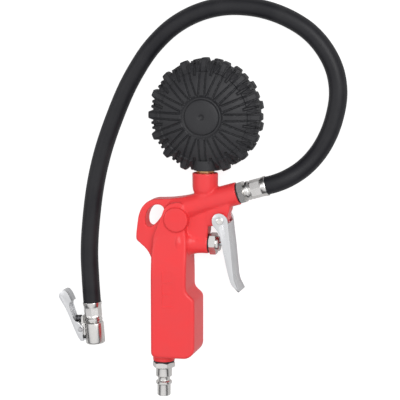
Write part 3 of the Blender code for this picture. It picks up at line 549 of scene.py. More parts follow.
def smooth_path(points, count):
    """Evenly spaced points on a centripetal Catmull-Rom curve through the route."""
    padded = [points[0] * 2 - points[1], *points, points[-1] * 2 - points[-2]]
    dense = []
    for i in range(1, len(padded) - 2):
        p0, p1, p2, p3 = padded[i - 1: i + 3]
        t1 = (p1 - p0).length ** 0.5
        t2 = t1 + (p2 - p1).length ** 0.5
        t3 = t2 + (p3 - p2).length ** 0.5
        for k in range(SHARES):
            t = t1 + (t2 - t1) * k / SHARES
            a1 = p0 * ((t1 - t) / t1) + p1 * (t / t1)
            a2 = p1 * ((t2 - t) / (t2 - t1)) + p2 * ((t - t1) / (t2 - t1))
            a3 = p2 * ((t3 - t) / (t3 - t2)) + p3 * ((t - t2) / (t3 - t2))
            b1 = a1 * ((t2 - t) / t2) + a2 * (t / t2)
            b2 = a2 * ((t3 - t) / (t3 - t1)) + a3 * ((t - t1) / (t3 - t1))
            dense.append(b1 * ((t2 - t) / (t2 - t1)) + b2 * ((t - t1) / (t2 - t1)))
    dense.append(points[-1].copy())
    lengths = [0.0]
    for a, b in zip(dense, dense[1:]):
        lengths.append(lengths[-1] + (b - a).length)
    path = []
    j = 0
    for i in range(count):
        want = lengths[-1] * i / (count - 1)
        while j < len(lengths) - 2 and lengths[j + 1] < want:
            j += 1
        share = (want - lengths[j]) / max(lengths[j + 1] - lengths[j], 1e-9)
        path.append(dense[j].lerp(dense[j + 1], min(share, 1.0)))
    return path, lengths[-1]


hose_path, hose_length = smooth_path(hose_route, HOSE_POINTS)
print("hose length", round(hose_length, 1), "mm")


# %% Hose
def round_curve(name, points, radius, resolution):
    """A curve of one open spline with a round section and closed ends."""
    curve = bpy.data.curves.new(name, "CURVE")
    curve.dimensions = "3D"
    curve.bevel_depth = radius
    curve.bevel_resolution = resolution
    curve.use_fill_caps = True
    line = curve.splines.new("POLY")
    line.points.add(len(points) - 1)
    for spot, point in zip(points, line.points):
        point.co = (*spot, 1.0)
    line.use_smooth = True
    return curve


hose_curve = round_curve("hose_tube", [(spot - MIDDLE) * MM for spot in hose_path], HOSE_R * MM, 12)
hose = new_object("hose_tube", hose_curve)
hose_curve.materials.append(hose_rubber)
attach(hose, "gun")
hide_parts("hose")
print("hose tube:", len(hose_path), "points")


# %% [markdown]
# More shape helpers.  A stamped or cast outline has soft corners, so each corner of a drawn polygon is turned
# into a short curve.  Edges that a press or a file would break are rounded with a Bevel modifier.

# %% Outlines and rounded edges
NEAR = 0.02


def softened(points, per=6):
    """A polygon with curved corners; a third value in a point is how far from it the curve starts."""
    corners = [Vector(p[:2]) for p in points]
    count = len(corners)
    result = []
    for i, corner in enumerate(corners):
        before = corners[i - 1] - corner
        after = corners[(i + 1) % count] - corner
        reach = 0.5 * min(before.length, after.length)
        if len(points[i]) > 2:
            reach = min(reach, points[i][2])
        first = corner + before.normalized() * reach
        last = corner + after.normalized() * reach
        for k in range(per):
            t = k / (per - 1)
            spot = first * (1 - t) ** 2 + corner * 2 * t * (1 - t) + last * t * t
            if not result or (Vector(result[-1]) - spot).length > NEAR:
                result.append((spot.x, spot.y))
    if (Vector(result[-1]) - Vector(result[0])).length < NEAR:
        result.pop()
    return result


def round_edges(obj, width, segments=3, angle=40.0):
    """Round every edge that turns by more than the angle."""
    step = obj.modifiers.new("rounded", "BEVEL")
    step.width = width
    step.segments = segments
    step.limit_method = "ANGLE"
    step.angle_limit = math.radians(angle)
    step.use_clamp_overlap = True
    return settle(obj)


def hexagon(across, start, end, base, axis, turn=0.0):
    """A hexagon bar with the chamfered corners of a turned nut."""
    bm = slab([tuple((unit(60.0 * i + turn) * across / math.sqrt(3.0))[:2]) for i in range(6)], start, end)
    nut = solid(bm, laid_along(base, axis))
    half = across / 2.0
    lens = [(0.0, start), (half + 0.1, start), (half + 1.5, start + 0.75), (half + 1.5, end - 0.75),
            (half + 0.1, end), (0.0, end)]
    return shape_with(nut, [round_form(lens, base, axis)], "INTERSECT")


# %% [markdown]
# The gun body is one die casting: a flat grip, a hook ring, a round side boss and three ports that run into
# one another with soft fillets.  Drawing those fillets by hand is slow, so the body is roughed out from
# simple overlapping solids, melted into one skin with a voxel remesh, softened, and only then bored, which
# keeps the machined edges crisp as they are on the real casting.

# %% Gun body: outlines
INLET_AT = Vector((-29.6, 0.0, GUN_Z))
VALVE_AT = Vector((0.0, -9.9, GUN_Z))
PORT_AT = Vector((2.5, 0.0, GUN_Z))
PIVOT = Vector((16.0, 8.7, GUN_Z))
BOSS = Vector((-17.0, 8.7, GUN_Z))
CHUCK_PIN = Vector((-96.6, -82.0, CHUCK_Z))
PIN_HOLE = 1.95
CHUCK_PIN_HOLE = 1.25
GAUGE = Vector((2.5, 85.3, 0.0))
ALONG_X = Vector((1.0, 0.0, 0.0))
ALONG_Y = Vector((0.0, 1.0, 0.0))
ALONG_Z = Vector((0.0, 0.0, 1.0))

hook_plate = softened([
    (-6.8, 26.3), (-15.1, 24.6), (-24.7, 23.2), (-35.4, 22.9), (-40.9, 20.6), (-45.3, 15.9), (-47.5, 9.8),
    (-48.6, 1.6), (-49.4, -5.4), (-49.2, -8.4, 1.2), (-45.4, -11.6), (-41.0, -15.4), (-37.9, -20.6),
    (-36.6, -27.0), (-36.6, -34.0, 0.5), (-10.0, -34.0, 0.5), (-10.0, -16.0), (-10.5, 1.0), (-6.0, 18.0)])
hook_hole = softened([
    (-33.2, 18.9), (-37.6, 17.3), (-41.0, 13.2), (-42.4, 7.6), (-41.7, 3.1), (-39.3, 1.2), (-36.0, 2.8),
    (-32.0, 6.8), (-28.7, 11.6), (-27.2, 15.4), (-29.2, 18.2)])
shoulder = softened([
    (-13.0, 22.0), (-22.0, 20.6), (-26.4, 17.0), (-28.6, 10.5), (-32.0, 3.0), (-35.4, -6.5),
    (-36.6, -22.7), (-36.6, -34.0, 0.5), (-10.0, -34.0, 0.5), (-10.0, -16.0), (-12.5, 1.0), (-11.0, 16.0)])
saddle = softened([
    (-3.0, 26.6), (-15.0, 24.6), (-24.0, 22.4), (-27.0, 16.0), (-22.0, 6.0), (-8.0, 9.0), (3.0, 14.5),
    (10.0, 20.0), (9.0, 27.0), (2.0, 30.0)])
web = softened([(-14.0, 22.0), (-14.0, -14.0), (-2.0, -14.0), (5.4, -6.0), (6.4, 9.6), (12.0, 22.0)], 4)
grip_side = softened([
    (-36.0, -17.0), (-36.0, -93.8, 2.0), (-33.8, -96.2, 2.0), (-20.6, -96.2, 1.0), (-7.4, -96.0, 3.5),
    (-2.3, -91.0, 3.5), (-2.3, -50.8, 2.5), (-8.9, -45.2, 3.0), (-8.9, -17.0), (-9.4, -6.0),
    (-11.0, 6.0), (-18.0, 10.0), (-25.5, 7.0), (-30.6, -0.6), (-35.0, -9.2)])
pivot_lug = softened([
    (5.0, 24.0), (5.0, 4.2), (9.5, 3.9), (13.6, 4.6), (16.6, 4.2), (19.2, 5.4), (20.6, 8.2), (20.8, 12.9),
    (22.4, 15.8), (22.4, 25.0)], 5)


# %% Gun body: rough solids
THIN_FROM, THIN_TO, THINNED_BY = -36.0, 6.0, 0.33
VOXEL = 0.66
SOFTENING = 5
RIDGE_RISE = 0.055


def plate(outline, half, rim, holes=()):
    """A slab centred on the gun's mid-plane, cut through and with its rims rounded."""
    obj = solid(slab(outline, GUN_Z - half, GUN_Z + half))
    if holes:
        shape_with(obj, [solid(slab(hole, -2.0, 34.0)) for hole in holes])
    return round_edges(obj, rim, 4, 50.0)


def thinned_upwards(work):
    """Thin the grip towards its top, so that it runs into the shoulder without a step."""
    bm = bmesh.new()
    bm.from_mesh(work.data)
    for height in range(int(THIN_FROM), 12, 4):
        bmesh.ops.bisect_plane(bm, geom=bm.verts[:] + bm.edges[:] + bm.faces[:], dist=1e-5,
                               plane_co=(0.0, float(height), 0.0), plane_no=(0.0, 1.0, 0.0))
    for vert in bm.verts:
        vert.co.z = GUN_Z + (vert.co.z - GUN_Z) * (1.0 - THINNED_BY * ramp(vert.co.y, THIN_FROM, THIN_TO))
    bm.to_mesh(work.data)
    bm.free()
    return work


ridge_up = Vector((TUBE_DIR.x, TUBE_DIR.y, -RIDGE_RISE))
ridge_down = Vector((TUBE_DIR.x, TUBE_DIR.y, RIDGE_RISE))
body_solids = [
    plate(hook_plate, 6.6, 3.0, [hook_hole]),
    plate(shoulder, 11.0, 3.4, [hook_hole]),
    plate(saddle, 8.6, 4.0),
    plate(web, 6.3, 0.5),
    thinned_upwards(plate(grip_side, 15.5, 4.6)),
    plate(pivot_lug, 6.9, 0.8),
    round_bar(8.25, -46.0, -4.0, TUBE_END, ridge_up),
    round_bar(8.25, -46.0, -4.0, TUBE_END, ridge_down),
    round_form([(0, -26.0), (8.4, -26.0), (8.5, 0.0), (0, 0.0)], TUBE_END, TUBE_DIR),
    round_form([(0, 15.0), (2.4, 17.0), (9.1, 30.0), (9.5, 33.0), (9.6, 43.1), (0, 43.1)], PORT_AT, ALONG_Y),
    round_form([(0, -30.0), (13.2, -16.0), (11.0, -11.0), (8.8, -6.8), (7.8, -3.2), (7.6, 0.0), (7.6, 5.4),
                (0, 5.4)], VALVE_AT, ALONG_X),
    round_bar(9.0, -13.0, 13.0, BOSS, ALONG_Z),
    round_bar(8.25, -101.2, -88.0, INLET_AT, ALONG_Y)]
gun_work = fuse(body_solids, VOXEL, SOFTENING)
print("gun body skin:", len(gun_work.data.polygons), "faces")

# %% [markdown]
# The bores are cut after the melt.  All the cutters are gathered into one object, because one cut through a
# heavy mesh costs much less than ten.  The grip's two flat sides get shallow pockets that break up the
# surface and give the fingers some hold.

# %% Gun body: bores and grip pockets
bore_cuts = [
    (INLET_AT, ALONG_Y, [(0, -103.0), (7.3, -103.0), (6.6, -100.6), (6.58, -89.0), (2.6, -86.7),
                         (2.6, -30.0), (0, -30.0)]),
    (VALVE_AT, ALONG_X, [(0, -28.5), (5.0, -28.5), (5.0, -12.0), (6.1, -12.0), (6.1, 4.8), (6.7, 7.0),
                         (0, 7.0)]),
    (PORT_AT, ALONG_Y, [(0, 29.0), (2.5, 29.0), (6.58, 31.3), (6.6, 42.2), (8.0, 44.0), (0, 44.0)]),
    (TUBE_END, TUBE_DIR, [(0, -30.0), (2.5, -30.0), (2.5, -13.0), (5.2, -11.4), (5.2, -0.6), (6.4, 1.0),
                          (0, 1.0)]),
    (PIVOT, ALONG_Z, [(0, -12.0), (PIN_HOLE, -12.0), (PIN_HOLE, 12.0), (0, 12.0)])]
cutters = bmesh.new()
for base, axis, profile in bore_cuts:
    gather(cutters, turned(profile, 64), laid_along(base, axis))
POCKET_LEFT, POCKET_RIGHT, POCKET_TALL, POCKET_PITCH, POCKET_DEPTH = -27.0, -18.4, 8.2, 9.6, 0.45
for row in range(4):
    top = -20.0 - POCKET_PITCH * row
    corners = [(POCKET_LEFT, top), (POCKET_RIGHT, top), (POCKET_RIGHT, top - POCKET_TALL),
               (POCKET_LEFT, top - POCKET_TALL)]
    pocket = softened([(x, y, 1.0) for x, y in corners], 4)
    for low, high in ((31.0 - POCKET_DEPTH, 33.0), (-2.0, POCKET_DEPTH)):
        gather(cutters, slab(pocket, low, high))
shape_with(gun_work, [solid(cutters)])
place_piece(gun_work, "gun_casting", paint, "gun", ["gun_body"], 40.0)

# %% [markdown]
# The gauge boot is moulded rubber made to look like an off-road tire.  A plain turned shell has the right
# size; the spokes, panels, notches and tread blocks repeat every 22.5 degrees, so they are worked into the
# fine skin by moving its points by a rule.  That keeps one closed skin, as one moulding is.

# %% Boot: the turned shell
SPOKE_STEP = 22.5
ROW_STEP = 0.55
BOOT_R = 39.6
boot_rows = [
    (0.0, 27.6), (0.8, 27.7), (1.5, 28.1), (2.1, 28.7), (3.0, 28.95), (6.0, 28.9), (9.0, 28.7), (11.8, 28.3),
    (12.6, 27.9), (13.0, 27.2), (13.4, 26.5), (14.2, 26.3), (14.9, 26.6), (15.5, 27.3), (16.4, 27.9),
    (20.0, 27.5), (24.0, 26.7), (28.0, 25.4), (32.0, 23.6), (35.0, 21.9), (37.2, 20.2), (38.8, 18.6),
    (BOOT_R, 17.0), (BOOT_R, 2.6), (39.2, 1.2), (38.2, 0.3), (37.0, 0.0), (28.8, 0.0), (28.8, 1.8),
    (31.9, 1.9), (31.9, 20.4), (29.4, 22.9), (0.0, 22.9)]
fine_rows = []
for first, second in zip(boot_rows, boot_rows[1:]):
    outside = min(first[0], second[0]) > 15.0 and max(first[1], second[1]) > 2.0 and first[0] != 31.9
    span = math.hypot(second[0] - first[0], second[1] - first[1])
    pieces = max(1, round(span / ROW_STEP)) if outside else 1
    for k in range(pieces):
        t = k / pieces
        fine_rows.append((first[0] + (second[0] - first[0]) * t, first[1] + (second[1] - first[1]) * t))
fine_rows.append(boot_rows[-1])
boot_bm = turned(fine_rows, 480)
print("boot skin:", len(fine_rows), "rows,", len(boot_bm.verts), "points")


# %% Boot: spokes, panels, notches and tread blocks
GROOVE_DEPTH, PANEL_RISE, NOTCH_DEPTH = 0.95, 0.55, 1.7
LUG_RISE, LUG_OUT, LOW_BLOCK_OUT, HIGH_BLOCK_OUT = 1.25, 3.4, 2.4, 1.9


def boot_move(reach, angle, height):
    """How far a point of the boot's skin moves outwards and upwards."""
    nearest = (angle + SPOKE_STEP / 2.0) % SPOKE_STEP - SPOKE_STEP / 2.0
    from_spoke = reach * abs(math.sin(math.radians(nearest)))
    from_panel = reach * abs(math.sin(math.radians(SPOKE_STEP / 2.0 - abs(nearest))))
    share = abs(nearest) / (SPOKE_STEP / 2.0)
    out = 0.0
    up = 0.0
    on_dome = ramp(reach, 15.2, 17.0) * (1.0 - ramp(reach, 38.0, 39.4))
    if height > 17.5 and reach > 15.0:
        groove = ramp(from_spoke, 1.5, 2.0) * (1.0 - ramp(from_spoke, 2.4, 3.0))
        panel = ramp(from_spoke, 2.6, 3.4) * math.cos(math.radians(90.0 * (1.0 - share)))
        up += on_dome * (PANEL_RISE * panel - GROOVE_DEPTH * groove - 0.15)
        notch = ramp(reach, 30.6, 31.4) * (1.0 - ramp(from_panel, 0.7, 1.1))
        up -= NOTCH_DEPTH * notch
    side = ramp(reach, 33.0, 34.0)
    lug_half = 4.9 - 1.7 * ramp(reach, 34.0, BOOT_R)
    lug = side * (1.0 - ramp(from_spoke, lug_half - 0.35, lug_half + 0.2)) * ramp(height, 10.6, 11.3)
    up += LUG_RISE * lug * ramp(height, 16.0, 18.0)
    lug_face = side * (1.0 - ramp(from_spoke, 1.9, 3.9)) * ramp(height, 10.6, 11.3)
    out += LUG_OUT * lug_face * ramp(reach, 36.0, BOOT_R)
    block = ramp(reach, 38.6, BOOT_R) * (1.0 - ramp(from_panel, 2.7, 3.3))
    low_block = block * ramp(height, 2.2, 2.9) * (1.0 - ramp(height, 9.6, 10.3))
    high_block = block * ramp(height, 12.4, 13.0) * (1.0 - ramp(height, 16.4, 17.2))
    slit = 1.0 - ramp(from_panel, 0.5, 0.8)
    out += LOW_BLOCK_OUT * low_block + HIGH_BLOCK_OUT * high_block * (1.0 - slit)
    return out, up


for vert in boot_bm.verts:
    reach = math.hypot(vert.co.x, vert.co.y)
    if not (reach > 32.2 or vert.co.z > 23.2) or reach < 15.0 or vert.co.z < 2.0:
        continue
    out, up = boot_move(reach, math.degrees(math.atan2(vert.co.y, vert.co.x)), vert.co.z)
    vert.co.x *= (reach + out) / reach
    vert.co.y *= (reach + out) / reach
    vert.co.z += up
bmesh.ops.recalc_face_normals(boot_bm, faces=boot_bm.faces)
boot_work = solid(boot_bm, Matrix.Translation(GAUGE))
collar = round_form([(0, 45.0), (8.5, 45.0), (9.1, 45.6), (9.1, 52.5), (0, 52.5)], PORT_AT, ALONG_Y)
shape_with(boot_work, [collar], "UNION")
shape_with(boot_work, [round_bar(6.8, 40.0, 58.0, PORT_AT, ALONG_Y, 64)])
place_piece(boot_work, "tread_boot", boot_rubber, "gun", ["gauge_boot"], 32.0)

# %% [markdown]
# The trigger is folded from thick sheet: two cheeks that straddle the body and a front web that carries the
# fingers, flared at its free end.  It is the side outline raised to full width, hollowed from behind, with
# the free end's corners rounded off and every sheared edge broken.

# %% Trigger lever
TRIGGER_HALF = 10.5
TRIGGER_WALL = 1.5
web_front = [(22.0, 6.9), (22.7, 0.0), (23.8, -8.0), (24.8, -18.0), (25.7, -27.3), (26.5, -34.5),
             (27.5, -38.0), (29.2, -41.0), (31.0, -43.8, 0.4)]
web_back = [(20.5, 7.0), (21.2, 0.1), (22.3, -7.8), (23.3, -17.8), (24.2, -27.1), (25.0, -34.8),
            (26.1, -38.7), (27.9, -41.7), (29.8, -44.5, 0.4)]
cheek_top = [(10.0, 8.0), (10.3, 11.2), (12.2, 13.6), (15.2, 14.6), (18.4, 13.9), (20.7, 11.8), (21.7, 9.2)]
cheek_rear = [(25.6, -39.6, 0.5), (24.1, -37.0), (21.5, -28.2), (18.8, -15.2), (17.4, -8.8), (16.1, -2.3),
              (14.1, 1.5), (10.9, 4.6)]
side_outline = softened(cheek_top + web_front + [web_back[-1], web_back[-2]] + cheek_rear, 4)
inside_outline = softened([(*p[:2], 1.0) for p in web_back] + [
    (2.0, -46.4, 0.1), (2.0, 22.0, 0.1), (30.0, 22.0, 0.1), (30.0, 7.0, 0.1)], 4)
trigger_low, trigger_high = GUN_Z - TRIGGER_HALF, GUN_Z + TRIGGER_HALF
trigger_work = solid(slab(side_outline, trigger_low, trigger_high))
shape_with(trigger_work, [
    solid(slab(inside_outline, trigger_low + TRIGGER_WALL, trigger_high - TRIGGER_WALL)),
    round_bar(PIN_HOLE, -14.0, 14.0, PIVOT, ALONG_Z, 48)])
finger_end = softened([
    (trigger_low - 1.0, 30.0, 0.1), (trigger_low - 1.0, -33.0, 0.1), (trigger_low, -34.0, 0.1),
    (trigger_low, -45.4, 9.5), (trigger_high, -45.4, 9.5), (trigger_high, -34.0, 0.1),
    (trigger_high + 1.0, -33.0, 0.1), (trigger_high + 1.0, 30.0, 0.1)], 8)
envelope = slab(finger_end, -5.0, 40.0)
upright = Matrix(((0, 0, 1, 0), (0, 1, 0, 0), (1, 0, 0, 0), (0, 0, 0, 1)))
bmesh.ops.transform(envelope, matrix=upright, verts=envelope.verts)
bmesh.ops.recalc_face_normals(envelope, faces=envelope.faces)
shape_with(trigger_work, [solid(envelope)], "INTERSECT")
round_edges(trigger_work, 0.32, 2, 40.0)
place_piece(trigger_work, "trigger_channel", lever_plate, "trigger", ["trigger_lever"])

# %% [markdown]
# The trigger turns on a headed pin.  The head is turned with a rounded rim and a shallow hexagon socket, and
# it stands on the outer cheek where it can be seen.

# %% Trigger pin
pin_profile = [(0, 2.9), (1.6, 2.9), (1.9, 3.2), (1.9, 3.7), (1.5, 3.7), (1.5, 4.4), (1.9, 4.4), (1.9, 26.1),
               (2.7, 26.1), (2.75, 26.6), (2.5, 27.2), (2.0, 27.4), (0, 27.4)]
PIVOT_FLOOR = Vector((PIVOT.x, PIVOT.y, 0.0))
pin_work = round_form(pin_profile, PIVOT_FLOOR, ALONG_Z, 64)
socket_outline = [tuple((PIVOT_FLOOR + unit(60.0 * i) * 1.35)[:2]) for i in range(6)]
shape_with(pin_work, [solid(slab(socket_outline, 26.6, 28.0))])
place_piece(pin_work, "pivot_pin", nickel, "gun", ["trigger_pin"], 30.0)

# %% [markdown]
# The valve's gland nut screws into the boss behind the trigger.  A turned nut is the meeting of a hexagon bar
# and a lens-shaped turning, which gives the curved chamfers on its corners.  Three fittings are made so: the
# hexagon is bored out wide, and the turned part fills the bore.

# %% Valve gland nut and stem
def fitting(name, across, ends, twist, bore, rows, base, axis, node, steps=96, sharp=30.0):
    """A plated turning with a hexagon for a spanner."""
    work = hexagon(across, *ends, base, axis, twist)
    shape_with(work, [round_bar(*bore, base, axis, 48)])
    shape_with(work, [round_form(rows, base, axis, steps, True)], "UNION")
    return place_piece(work, name, nickel, "gun", [node], sharp)


gland_rows = [(1.65, -3.6), (2.8, -4.6), (2.8, -11.2), (5.9, -11.2), (5.9, -9.2), (4.4, -9.2), (4.4, -3.6),
              (6.0, -3.6), (6.0, 7.0), (5.6, 7.0), (5.6, 13.2), (5.0, 14.0), (1.65, 14.1)]
fitting("gland_nut", 14.6, (6.5, 11.6), 10.0, (3.0, -14.0, 20.0), gland_rows, VALVE_AT, ALONG_X,
        "valve_gland_nut")
stem_profile = [(0, -15.2), (1.1, -15.2), (1.1, -12.1), (1.6, -12.1), (1.6, 20.6), (1.5, 21.2), (1.1, 21.8),
                (0.5, 22.15), (0, 22.2)]
turned_piece("push_stem", stem_profile, VALVE_AT, ALONG_X, steel, "valve", ["valve_stem"], 48, False)

# %% [markdown]
# The hose is held on a barbed nipple by a crimped ferrule.  The crimping tool squeezes eight flats into the
# shell and leaves a bell at the hose end, so the turned shell's points are pulled in to an octagon there.


# %% Crimped ferrules
CRIMP_START = 3.4
FLAT_STEP = 45.0
FLAT_TWIST = 11.0
SQUEEZED_ROWS = 16


def crimp(bm, high, flat, depth_from):
    """Squeeze the outer skin, up to a height, to an octagon of the given half width."""
    for vert in bm.verts:
        reach = math.hypot(vert.co.x, vert.co.y)
        share = ramp(vert.co.z, CRIMP_START, CRIMP_START + 0.9) * (1.0 - ramp(vert.co.z, high - 1.6, high))
        if reach < depth_from or share == 0.0:
            continue
        angle = math.degrees(math.atan2(vert.co.y, vert.co.x)) + 360.0
        from_flat = (angle + FLAT_STEP / 2.0 + FLAT_TWIST) % FLAT_STEP - FLAT_STEP / 2.0
        squeezed = min(reach, flat / math.cos(math.radians(from_flat)))
        pull = 1.0 + (squeezed / reach - 1.0) * share
        vert.co.x *= pull
        vert.co.y *= pull
    return bm


def ferrule_rows(length, small, large):
    """Profile of the shell, from its collar to its bell, with many rows where it is squeezed."""
    rows = [(4.5, 0.0), (small - 0.6, 0.0), (small - 0.15, 0.2), (small, 0.6), (small, 2.0),
            (small - 0.15, 2.3), (small - 0.5, 2.7), (small - 0.5, 3.1), (small, 3.6)]
    middle = length - 7.0
    rows += [(small + 0.1, 3.6 + middle * i / SQUEEZED_ROWS) for i in range(1, SQUEEZED_ROWS + 1)]
    rows += [(small + 0.2, length - 2.2), (large, length - 1.0), (large + 0.05, length - 0.4),
             (large - 0.1, length - 0.05), (6.85, length), (6.85, length - 2.4), (6.1, length - 3.2),
             (6.1, 1.4), (4.5, 1.4)]
    return rows


def ferrule(name, shell, squeeze, base, axis, node):
    """A plated ferrule: a turned shell (length, collar, bell), squeezed (to a height, half width, from)."""
    bm = crimp(turned(ferrule_rows(*shell), 160, True), *squeeze)
    return place_piece(solid(bm, laid_along(base, axis)), name, nickel, "gun", [node], 24.0)


ferrule("gun_end_ferrule", (15.7, 7.1, 7.55), (13.0, 6.55, 6.3), TUBE_END + TUBE_DIR * 7.1, TUBE_DIR,
        "hose_ferrule_gun")
chuck_ferrule = ferrule("chuck_end_ferrule", (14.7, 6.75, 7.2), (12.0, 6.35, 6.2), chuck_point(14.7, 0.0),
                        -CHUCK_DOWN, "hose_ferrule_chuck")

# %% [markdown]
# The nipple at the gun end carries the hexagon that a spanner turns.  Its thread and barbs are inside, but
# they are part of the same turning, so they are made too.

# %% Gun-end nipple and washers
nipple_rows = [(2.2, -11.0), (4.6, -11.0), (5.1, -10.4), (5.1, 1.6), (5.4, 1.6), (5.4, 6.9), (4.4, 6.9),
               (4.4, 10.6), (5.0, 10.8), (4.3, 14.8), (5.0, 15.0), (3.6, 19.2), (2.2, 19.2)]
fitting("gun_end_nipple", 15.2, (1.2, 5.8), 14.0, (3.0, -2.0, 8.0), nipple_rows, TUBE_END, TUBE_DIR,
        "hose_nipple_gun")
port_washer_rows = [(5.3, 0.1), (7.3, 0.1), (7.5, 0.3), (7.5, 0.9), (7.3, 1.1), (5.3, 1.1)]
turned_piece("port_washer", port_washer_rows, TUBE_END, TUBE_DIR, seal_rubber, "gun", ["port_seal_washer"])

# %% [markdown]
# The inlet plug is the quick-connect nose that the air line's coupling grips: a hexagon, a plain shank, a
# locking groove and a collar, then the nose that goes into the coupling's seal.

# %% Inlet plug
plug_rows = [
    (3.5, -128.1), (4.5, -128.1), (4.85, -127.8), (5.0, -127.2), (5.0, -119.9), (5.15, -119.5), (5.8, -119.1),
    (6.0, -118.8), (6.0, -117.3), (5.7, -116.9), (4.6, -116.2), (4.5, -115.8), (4.5, -114.2), (4.65, -113.8),
    (5.8, -113.2), (6.0, -112.9), (6.0, -107.4), (6.15, -106.9), (7.2, -106.2), (7.2, -105.8),
    (6.6, -102.8), (6.5, -102.3), (6.5, -90.0), (3.5, -90.0)]
fitting("air_plug", 15.0, (-106.1, -102.3), 0.0, (5.0, -110.0, -100.0), plug_rows, INLET_AT, ALONG_Y,
        "inlet_plug", 128, 26.0)

# %% [markdown]
# The chuck clips onto the tyre valve.  Its body is a turned barrel with an ear for the lever's pin and a slot
# for the jaw.  The ear and the lever's rest are plain slabs, joined to the barrel one at a time, because one
# union of three solids that share so many faces can fail.

# %% Chuck body
barrel_rows = [
    (4.5, 15.4), (6.3, 15.4), (6.9, 15.6), (7.3, 16.1), (7.4, 16.8), (7.4, 30.6), (7.25, 31.3), (6.8, 31.9),
    (6.2, 32.2), (4.3, 32.2), (4.3, 22.6), (3.4, 22.6), (3.4, 19.0), (4.5, 19.0)]
barrel_work = round_form(barrel_rows, chuck_point(0.0, 0.0), CHUCK_DOWN, 128, True)


def chuck_outline(points):
    """An outline given in the chuck's own frame, with soft corners."""
    return softened([(*chuck_point(p[0], p[1])[:2], *p[2:]) for p in points], 5)


ear = chuck_outline([(16.4, 5.2, 0.3), (16.4, 8.9), (18.6, 11.4), (22.2, 11.6), (25.0, 9.0),
                     (25.0, 5.2, 0.3)])
rest = chuck_outline([(10.4, 7.6, 0.3), (10.4, 8.8, 0.4), (16.8, 9.6), (18.4, 9.6, 0.3), (18.4, 5.4, 0.3),
                      (16.4, 5.4, 0.3), (15.7, 7.6, 0.3)])
for outline, half in ((ear, 3.6), (rest, 3.0)):
    shape_with(barrel_work, [solid(slab(outline, CHUCK_Z - half, CHUCK_Z + half))], "UNION")
jaw_slot = chuck_outline([(27.2, 3.0, 0.2), (27.2, 9.0, 0.2), (31.2, 9.0, 0.2), (31.2, 3.0, 0.2)])
shape_with(barrel_work, [solid(slab(jaw_slot, CHUCK_Z - 3.5, CHUCK_Z + 3.5)),
                         round_bar(CHUCK_PIN_HOLE, -8.0, 8.0, CHUCK_PIN, ALONG_Z, 48)])
chuck_body = place_piece(barrel_work, "chuck_barrel", nickel, "gun", ["chuck_body"], 28.0)

# %% [markdown]
# The thumb lever is pressed sheet: a channel round the pin that flattens into a spoon for the thumb, with a
# jaw that bites the valve's thread through the slot.  The channel is hollowed from the barrel's side.

# %% Chuck lever
LEVER_HALF = 5.5
LEVER_WALL = 1.1
lever_outline = softened([
    (-113.8, -57.0), (-113.2, -54.2), (-110.9, -51.9), (-108.4, -52.0), (-106.2, -54.6), (-104.2, -58.6),
    (-102.6, -62.6), (-101.2, -66.6), (-100.0, -70.6), (-99.2, -74.8), (-96.8, -78.2), (-94.6, -80.3),
    (-94.9, -86.0), (-94.5, -90.9, 0.4), (-96.4, -90.9, 0.6), (-98.6, -87.8), (-100.7, -83.4),
    (-103.1, -77.7), (-106.9, -68.3)], 5)
lever_inside = softened([
    (-107.6, -63.0), (-105.0, -69.0), (-101.8, -77.4), (-99.5, -83.1), (-97.8, -87.0), (-96.2, -89.3, 0.3),
    (-88.0, -89.3, 0.2), (-88.0, -62.5, 0.2), (-98.0, -61.0, 0.2)], 5)
lever_low, lever_high = CHUCK_Z - LEVER_HALF, CHUCK_Z + LEVER_HALF
lever_work = solid(slab(lever_outline, lever_low, lever_high))
shape_with(lever_work, [solid(slab(lever_inside, lever_low + LEVER_WALL, lever_high - LEVER_WALL)),
                        round_bar(CHUCK_PIN_HOLE, -8.0, 8.0, CHUCK_PIN, ALONG_Z, 48)])
waist = softened([(-106.2, -61.6), (-103.9, -68.6), (-102.0, -74.0), (-99.6, -76.6), (-96.0, -75.0, 0.3),
                  (-97.0, -62.0, 0.3), (-101.0, -59.0)], 5)
shape_with(lever_work, [solid(slab(waist, lever_low - 1.0, lever_high + 1.0))])
round_edges(lever_work, 0.35, 2, 45.0)
jaw = chuck_outline([(27.8, 3.9, 0.3), (27.8, 9.2, 0.1), (29.1, 9.2, 0.1), (29.1, 3.9, 0.3)])
shape_with(lever_work, [solid(slab(jaw, CHUCK_Z - 3.0, CHUCK_Z + 3.0))], "UNION")
chuck_lever = place_piece(lever_work, "thumb_lever", lever_plate, "chuck_lever", ["chuck_lever"],
                          30.0)
pin_rows = [(0, 1.2), (0.9, 1.2), (1.2, 1.5), (1.2, 13.0), (1.7, 13.05), (1.75, 13.4), (1.4, 13.8),
            (0.5, 13.95), (0, 13.95)]
chuck_pin = turned_piece("lever_pin", pin_rows, Vector((CHUCK_PIN.x, CHUCK_PIN.y, 0.0)), ALONG_Z, steel,
                         "gun", ["chuck_lever_pin"], 48, False)

# %% [markdown]
# The springs are coils of round wire: behind the valve, under the thumb lever and behind the check pin.  A
# helix is a curve with a round section, made a mesh.

# %% Coil springs
STEPS_IN_TURN = 28


def curve_solid(curve):
    """The closed mesh of a curve or text, as a bmesh."""
    helper = new_object("helper", curve)
    ready = helper.evaluated_get(bpy.context.evaluated_depsgraph_get())
    bm = bmesh.new()
    bm.from_mesh(ready.to_mesh())
    bpy.data.objects.remove(helper, do_unlink=True)
    bpy.data.curves.remove(curve)
    bmesh.ops.remove_doubles(bm, verts=bm.verts, dist=0.001)
    bmesh.ops.recalc_face_normals(bm, faces=bm.faces)
    return bm


